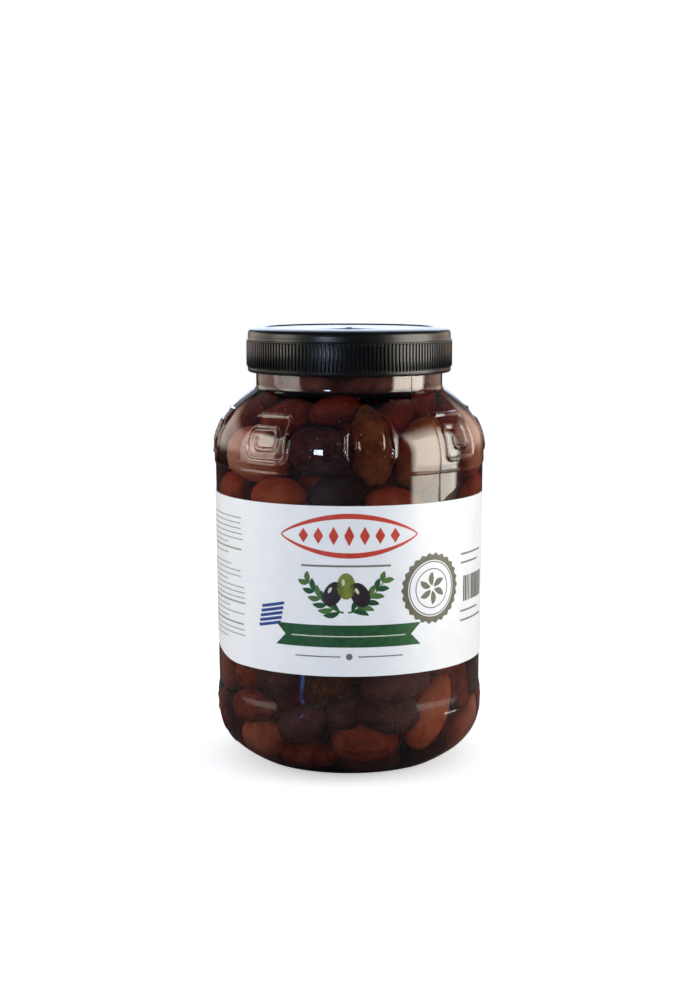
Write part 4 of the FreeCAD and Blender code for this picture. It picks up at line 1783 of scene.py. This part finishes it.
    def seal(self) -> None:
        """Round scalloped seal at the right with two inner rings and a rosette of leaves."""
        centre = self.seal_centre
        self.disc("seal", centre, (self.seal_radius, self.seal_radius), inner=0.82,
                  scallops=self.seal_scallops, depth=0.03)
        self.disc("seal", centre, (12.6, 12.6), inner=0.96)
        self.disc("seal", centre, (9.3, 9.3), inner=0.95)
        for number in range(self.seal_leaves):
            tilt = 90.0 + number * 360.0 / self.seal_leaves
            turn = math.radians(tilt)
            root = (centre[0] + 1.2 * math.cos(turn), centre[1] + 1.2 * math.sin(turn))
            self.leaf("seal", root, 6.4, tilt, 2.9)

    def rules_and_bars(self) -> None:
        """Two blocks of thin rules at the left, and a field of upright bars between rules at the right."""
        rng = np.random.default_rng(self.seed)
        up = self.column_top
        while up > self.column_foot:
            if not self.column_gap[0] < up < self.column_gap[1]:
                length = rng.uniform(34.0, 38.0) if rng.uniform() < 0.8 else rng.uniform(20.0, 30.0)
                self.box("rules", self.column_left, up, length, 0.5 + 0.35 * (rng.uniform() < 0.2))
            up -= self.line_pitch
        across = self.bars_left
        while across < self.bars_right:
            width = rng.choice([0.35, 0.55, 0.9, 1.2])
            self.box("bars", across, self.bars_foot, width, self.bars_height)
            across += width + rng.choice([0.35, 0.5, 0.8])
        for up, length in ((12.5, 22.0), (8.4, 18.0), (-14.5, 19.0), (-18.9, 25.0)):
            self.box("grey", 60.0, up, length, 0.9)

    def build(self) -> dict[str, bpy.types.Object]:
        """Lay out every printed shape and make one film of each ink.

        Returns:
            The films by ink.
        """
        for part in (self.banner, self.branches, self.title, self.stripes, self.seal,
                     self.rules_and_bars):
            part()
        return {ink: shape.to_object("print_" + ink) for ink, shape in self.shapes.items()}

    def dress(self, pieces: dict[str, bpy.types.Object]) -> None:
        """Give each film its ink.

        Args:
            pieces: the films by ink.
        """
        for ink, piece in pieces.items():
            colour, shade = self.inks[ink]
            place(piece, LabelInk("ink_" + ink, colour, shade).material(), "label_paper")


# ------------------------------------------------------------------ studio

class Reach(Enum):
    """What a lamp is there for: to light matt surfaces, or to be mirrored in glossy ones."""

    MATT = "matt"
    GLOSS = "gloss"


@dataclass(frozen=True)
class Softbox:
    """Diffuser that faces the jar and fades out over its soft edges, in metres.

    An upright one stands at distance, from low to high. A flat one lies at the height distance, and
    low and high are then how near and how far it reaches.
    """

    name: str
    azimuth: float
    distance: float
    low: float
    high: float
    width: float
    radiance: float
    colour: str
    reach: Reach
    soft: tuple[float, float] = (0.02, 0.02)
    flat: bool = False

    def build(self) -> None:
        """Hang the diffuser: an emissive plane whose strength is radiance x fade(u) x fade(v)."""
        tall = self.high - self.low
        u, v = np.meshgrid(np.linspace(-0.5, 0.5, 3), np.linspace(-0.5, 0.5, 3))
        turn = math.radians(self.azimuth)
        right = np.array([math.cos(turn), math.sin(turn), 0.0])
        outward = np.array([math.sin(turn), -math.cos(turn), 0.0])
        if self.flat:
            middle = outward * (self.low + self.high) / 2 + [0.0, 0.0, self.distance]
            up = outward
        else:
            middle = outward * self.distance + [0.0, 0.0, (self.low + self.high) / 2]
            up = np.array([0.0, 0.0, 1.0])
        points = middle + (u * self.width)[..., None] * right + (v * tall)[..., None] * up
        shape = Shape()
        shape.grid(points[::-1] / MM, u=u[::-1], v=v[::-1])
        plane = shape.to_object(self.name)
        material = bpy.data.materials.new(self.name)
        material.use_nodes = True
        tree = material.node_tree
        tree.nodes.clear()
        fades = []
        for name, edge in zip(("u", "v"), self.soft):
            at = add_node(tree, "ShaderNodeAttribute", attribute_name=name).outputs["Fac"]
            off = add_node(tree, "ShaderNodeMath", {0: at}, operation="ABSOLUTE")
            fade = add_node(tree, "ShaderNodeMapRange",
                            {"Value": off.outputs[0], "From Min": 0.5 - edge, "From Max": 0.5,
                             "To Min": 1.0, "To Max": 0.0}, interpolation_type="SMOOTHSTEP")
            fades.append(fade.outputs["Result"])
        level = add_node(tree, "ShaderNodeMath", {0: fades[0], 1: fades[1]}, operation="MULTIPLY")
        power = add_node(tree, "ShaderNodeMath", {0: level.outputs[0], 1: self.radiance},
                         operation="MULTIPLY")
        glow = add_node(tree, "ShaderNodeEmission",
                        {"Color": linear(self.colour), "Strength": power.outputs[0]})
        output = add_node(tree, "ShaderNodeOutputMaterial")
        tree.links.new(glow.outputs[0], output.inputs["Surface"])
        plane.data.materials.append(material)
        plane.visible_camera = False
        plane.visible_shadow = False
        plane.visible_glossy = self.reach is Reach.GLOSS
        plane.visible_diffuse = self.reach is Reach.MATT
        plane.visible_transmission = self.reach is Reach.MATT


@dataclass
class Studio:
    """Camera, lamps, world and the pale floor."""

    distance: float = 0.8623
    height: float = 0.2407
    pitch: float = 7.73
    lens: float = 64.88
    shift_x: float = -0.00277
    front_light: tuple[float, float, float, float] = (0.56, 0.64, 0.76, 1.0)
    side_light: tuple[float, float, float, float] = (0.62, 0.65, 0.70, 1.0)
    back_light: tuple[float, float, float, float] = (0.85, 0.85, 0.85, 1.0)
    front_gloss: tuple[float, float, float, float] = (0.010, 0.016, 0.034, 1.0)
    side_gloss: tuple[float, float, float, float] = (0.05, 0.06, 0.07, 1.0)
    rear_gloss: tuple[float, float, float, float] = (0.12, 0.12, 0.13, 1.0)
    back_gloss: tuple[float, float, float, float] = (0.45, 0.50, 0.58, 1.0)
    floor_half: float = 3000.0
    floor_drop: float = 0.2
    floor_pale: tuple[float, float, float, float] = (0.82, 0.82, 0.82, 1.0)
    floor_mirrored: tuple[float, float, float, float] = (0.03, 0.03, 0.035, 1.0)
    floor_lift: float = 0.5

    def camera(self) -> None:
        """Set the camera level with the cap and tipped down a little."""
        data = bpy.data.cameras.new("camera")
        data.lens = self.lens
        data.sensor_width = 36.0
        data.shift_x = self.shift_x
        data.clip_start = 0.01
        holder = bpy.data.objects.new("camera", data)
        holder.location = (0.0, -self.distance, self.height)
        holder.rotation_euler = (math.radians(90.0 - self.pitch), 0.0, 0.0)
        bpy.context.scene.collection.objects.link(holder)
        bpy.context.scene.camera = holder

    def world(self) -> None:
        """Soft cool room for matt surfaces, a dim one for glossy surfaces, and a white backdrop."""
        world = bpy.data.worlds.new("room")
        world.use_nodes = True
        bpy.context.scene.world = world
        tree = world.node_tree
        tree.nodes.clear()
        where = add_node(tree, "ShaderNodeTexCoord").outputs["Generated"]
        split = add_node(tree, "ShaderNodeSeparateXYZ", {"Vector": where})
        depth = add_node(tree, "ShaderNodeMapRange",
                         {"Value": split.outputs["Y"], "From Min": -1.0, "From Max": 1.0}).outputs["Result"]
        matt = ramp(tree, depth, [(0.0, self.front_light), (0.45, self.side_light), (1.0, self.back_light)])
        gloss = ramp(tree, depth, [(0.0, self.front_gloss), (0.80, self.side_gloss),
                                   (0.94, self.rear_gloss), (0.99, self.back_gloss)])
        path = add_node(tree, "ShaderNodeLightPath").outputs
        deep = add_node(tree, "ShaderNodeMath", {0: path["Diffuse Depth"], 1: 0.5}, operation="GREATER_THAN")
        bounced = add_node(tree, "ShaderNodeMath", {0: path["Diffuse Depth"], 1: path["Glossy Depth"]},
                           operation="ADD")
        direct = add_node(tree, "ShaderNodeMath", {0: bounced.outputs[0], 1: 0.5}, operation="LESS_THAN")
        through = add_node(tree, "ShaderNodeMath", {0: path["Is Transmission Ray"], 1: direct.outputs[0]},
                           operation="MULTIPLY")
        white = add_node(tree, "ShaderNodeMath", {0: path["Is Camera Ray"], 1: through.outputs[0]},
                         operation="MAXIMUM")
        room = add_node(tree, "ShaderNodeMix", {"Factor": deep.outputs[0], "A": gloss, "B": matt},
                        data_type="RGBA")
        colour = add_node(tree, "ShaderNodeMix", {"Factor": white.outputs[0], "A": room.outputs["Result"],
                                                  "B": (1.0, 1.0, 1.0, 1.0)}, data_type="RGBA")
        shader = add_node(tree, "ShaderNodeBackground", {"Color": colour.outputs["Result"], "Strength": 1.0})
        output = add_node(tree, "ShaderNodeOutputWorld")
        tree.links.new(shader.outputs[0], output.inputs["Surface"])

    def floor(self) -> None:
        """Pale floor, just below the jar, that keeps its shadow; gloss mirrors it as dark."""
        shape = Shape()
        side = np.linspace(-self.floor_half, self.floor_half, 5)
        x, y = np.meshgrid(side, side)
        shape.grid(np.stack([x, y, 0 * x - self.floor_drop], axis=-1))
        floor = shape.to_object("floor")
        material = bpy.data.materials.new("pale_floor")
        material.use_nodes = True
        tree = material.node_tree
        shader = tree.nodes["Principled BSDF"]
        shader.inputs["Roughness"].default_value = 0.9
        path = add_node(tree, "ShaderNodeLightPath")
        colour = add_node(tree, "ShaderNodeMix",
                          {"Factor": path.outputs["Is Glossy Ray"], "A": self.floor_pale,
                           "B": self.floor_mirrored}, data_type="RGBA")
        tree.links.new(colour.outputs["Result"], shader.inputs["Base Color"])
        shader.inputs["Emission Color"].default_value = (1.0, 1.0, 1.0, 1.0)
        lift = add_node(tree, "ShaderNodeMath", {0: path.outputs["Is Camera Ray"], 1: self.floor_lift},
                        operation="MULTIPLY")
        tree.links.new(lift.outputs[0], shader.inputs["Emission Strength"])
        floor.data.materials.append(material)

    def lamps(self) -> None:
        """Warm boxes at both sides, the cards that gloss mirrors there, and small cool lamps in front."""
        for box in (
            Softbox("box_right", 82.0, 1.2, 0.0, 0.8, 1.1, 3.4, "#fff8ec", Reach.MATT),
            Softbox("box_left", -84.0, 1.2, 0.0, 0.8, 0.9, 3.0, "#fffaf2", Reach.MATT),
            Softbox("card_right", 76.5, 0.85, -0.6, 1.1, 0.84, 9.5, "#fbf4e6", Reach.GLOSS, (0.12, 0.35)),
            Softbox("card_left", -77.0, 0.85, 0.10, 0.72, 0.66, 6.2, "#f8f0de", Reach.GLOSS, (0.3, 0.2)),
            Softbox("card_far_left", -122.0, 0.85, 0.04, 0.6, 1.2, 2.2, "#f8e8da", Reach.GLOSS, (0.3, 0.3)),
            Softbox("card_far_right", 128.0, 0.85, 0.04, 0.6, 1.1, 1.8, "#f8dccb", Reach.GLOSS, (0.3, 0.3)),
            Softbox("card_back", 180.0, 1.0, 0.2, 0.6, 0.6, 5.0, "#d2ddf8", Reach.GLOSS, (0.2, 0.2)),
            Softbox("lamp_front", -25.5, 1.7, 0.26, 0.58, 0.22, 34.0, "#cfe0ff", Reach.GLOSS),
            Softbox("table_glint", -36.0, 0.004, 0.19, 0.37, 0.016, 4.0, "#6c9cff", Reach.GLOSS,
                    (0.3, 0.3), flat=True),
        ):
            box.build()

    def build(self) -> None:
        """Set up the whole studio with plain colour handling."""
        bpy.context.scene.view_settings.view_transform = "Standard"
        self.camera()
        self.world()
        self.floor()
        self.lamps()


def main() -> None:
    logging.basicConfig(level=logging.INFO, format="%(name)s %(message)s")
    Studio().build()
    outline = Outline()
    shell = JarShell(outline)
    shell.dress(shell.build())
    fill = BrineFill(outline)
    fill.dress(fill.build(), fill.build_heart())
    heap = OliveHeap(outline)
    heap.dress(heap.build())
    bubbles = Bubbles(outline)
    bubbles.dress(bubbles.build())
    cap = ScrewCap()
    cap.dress(cap.build())
    label = Label(outline)
    label.dress(label.build())
    printed = Print(label)
    printed.dress(printed.build())


if __name__ == "__main__":
    main()
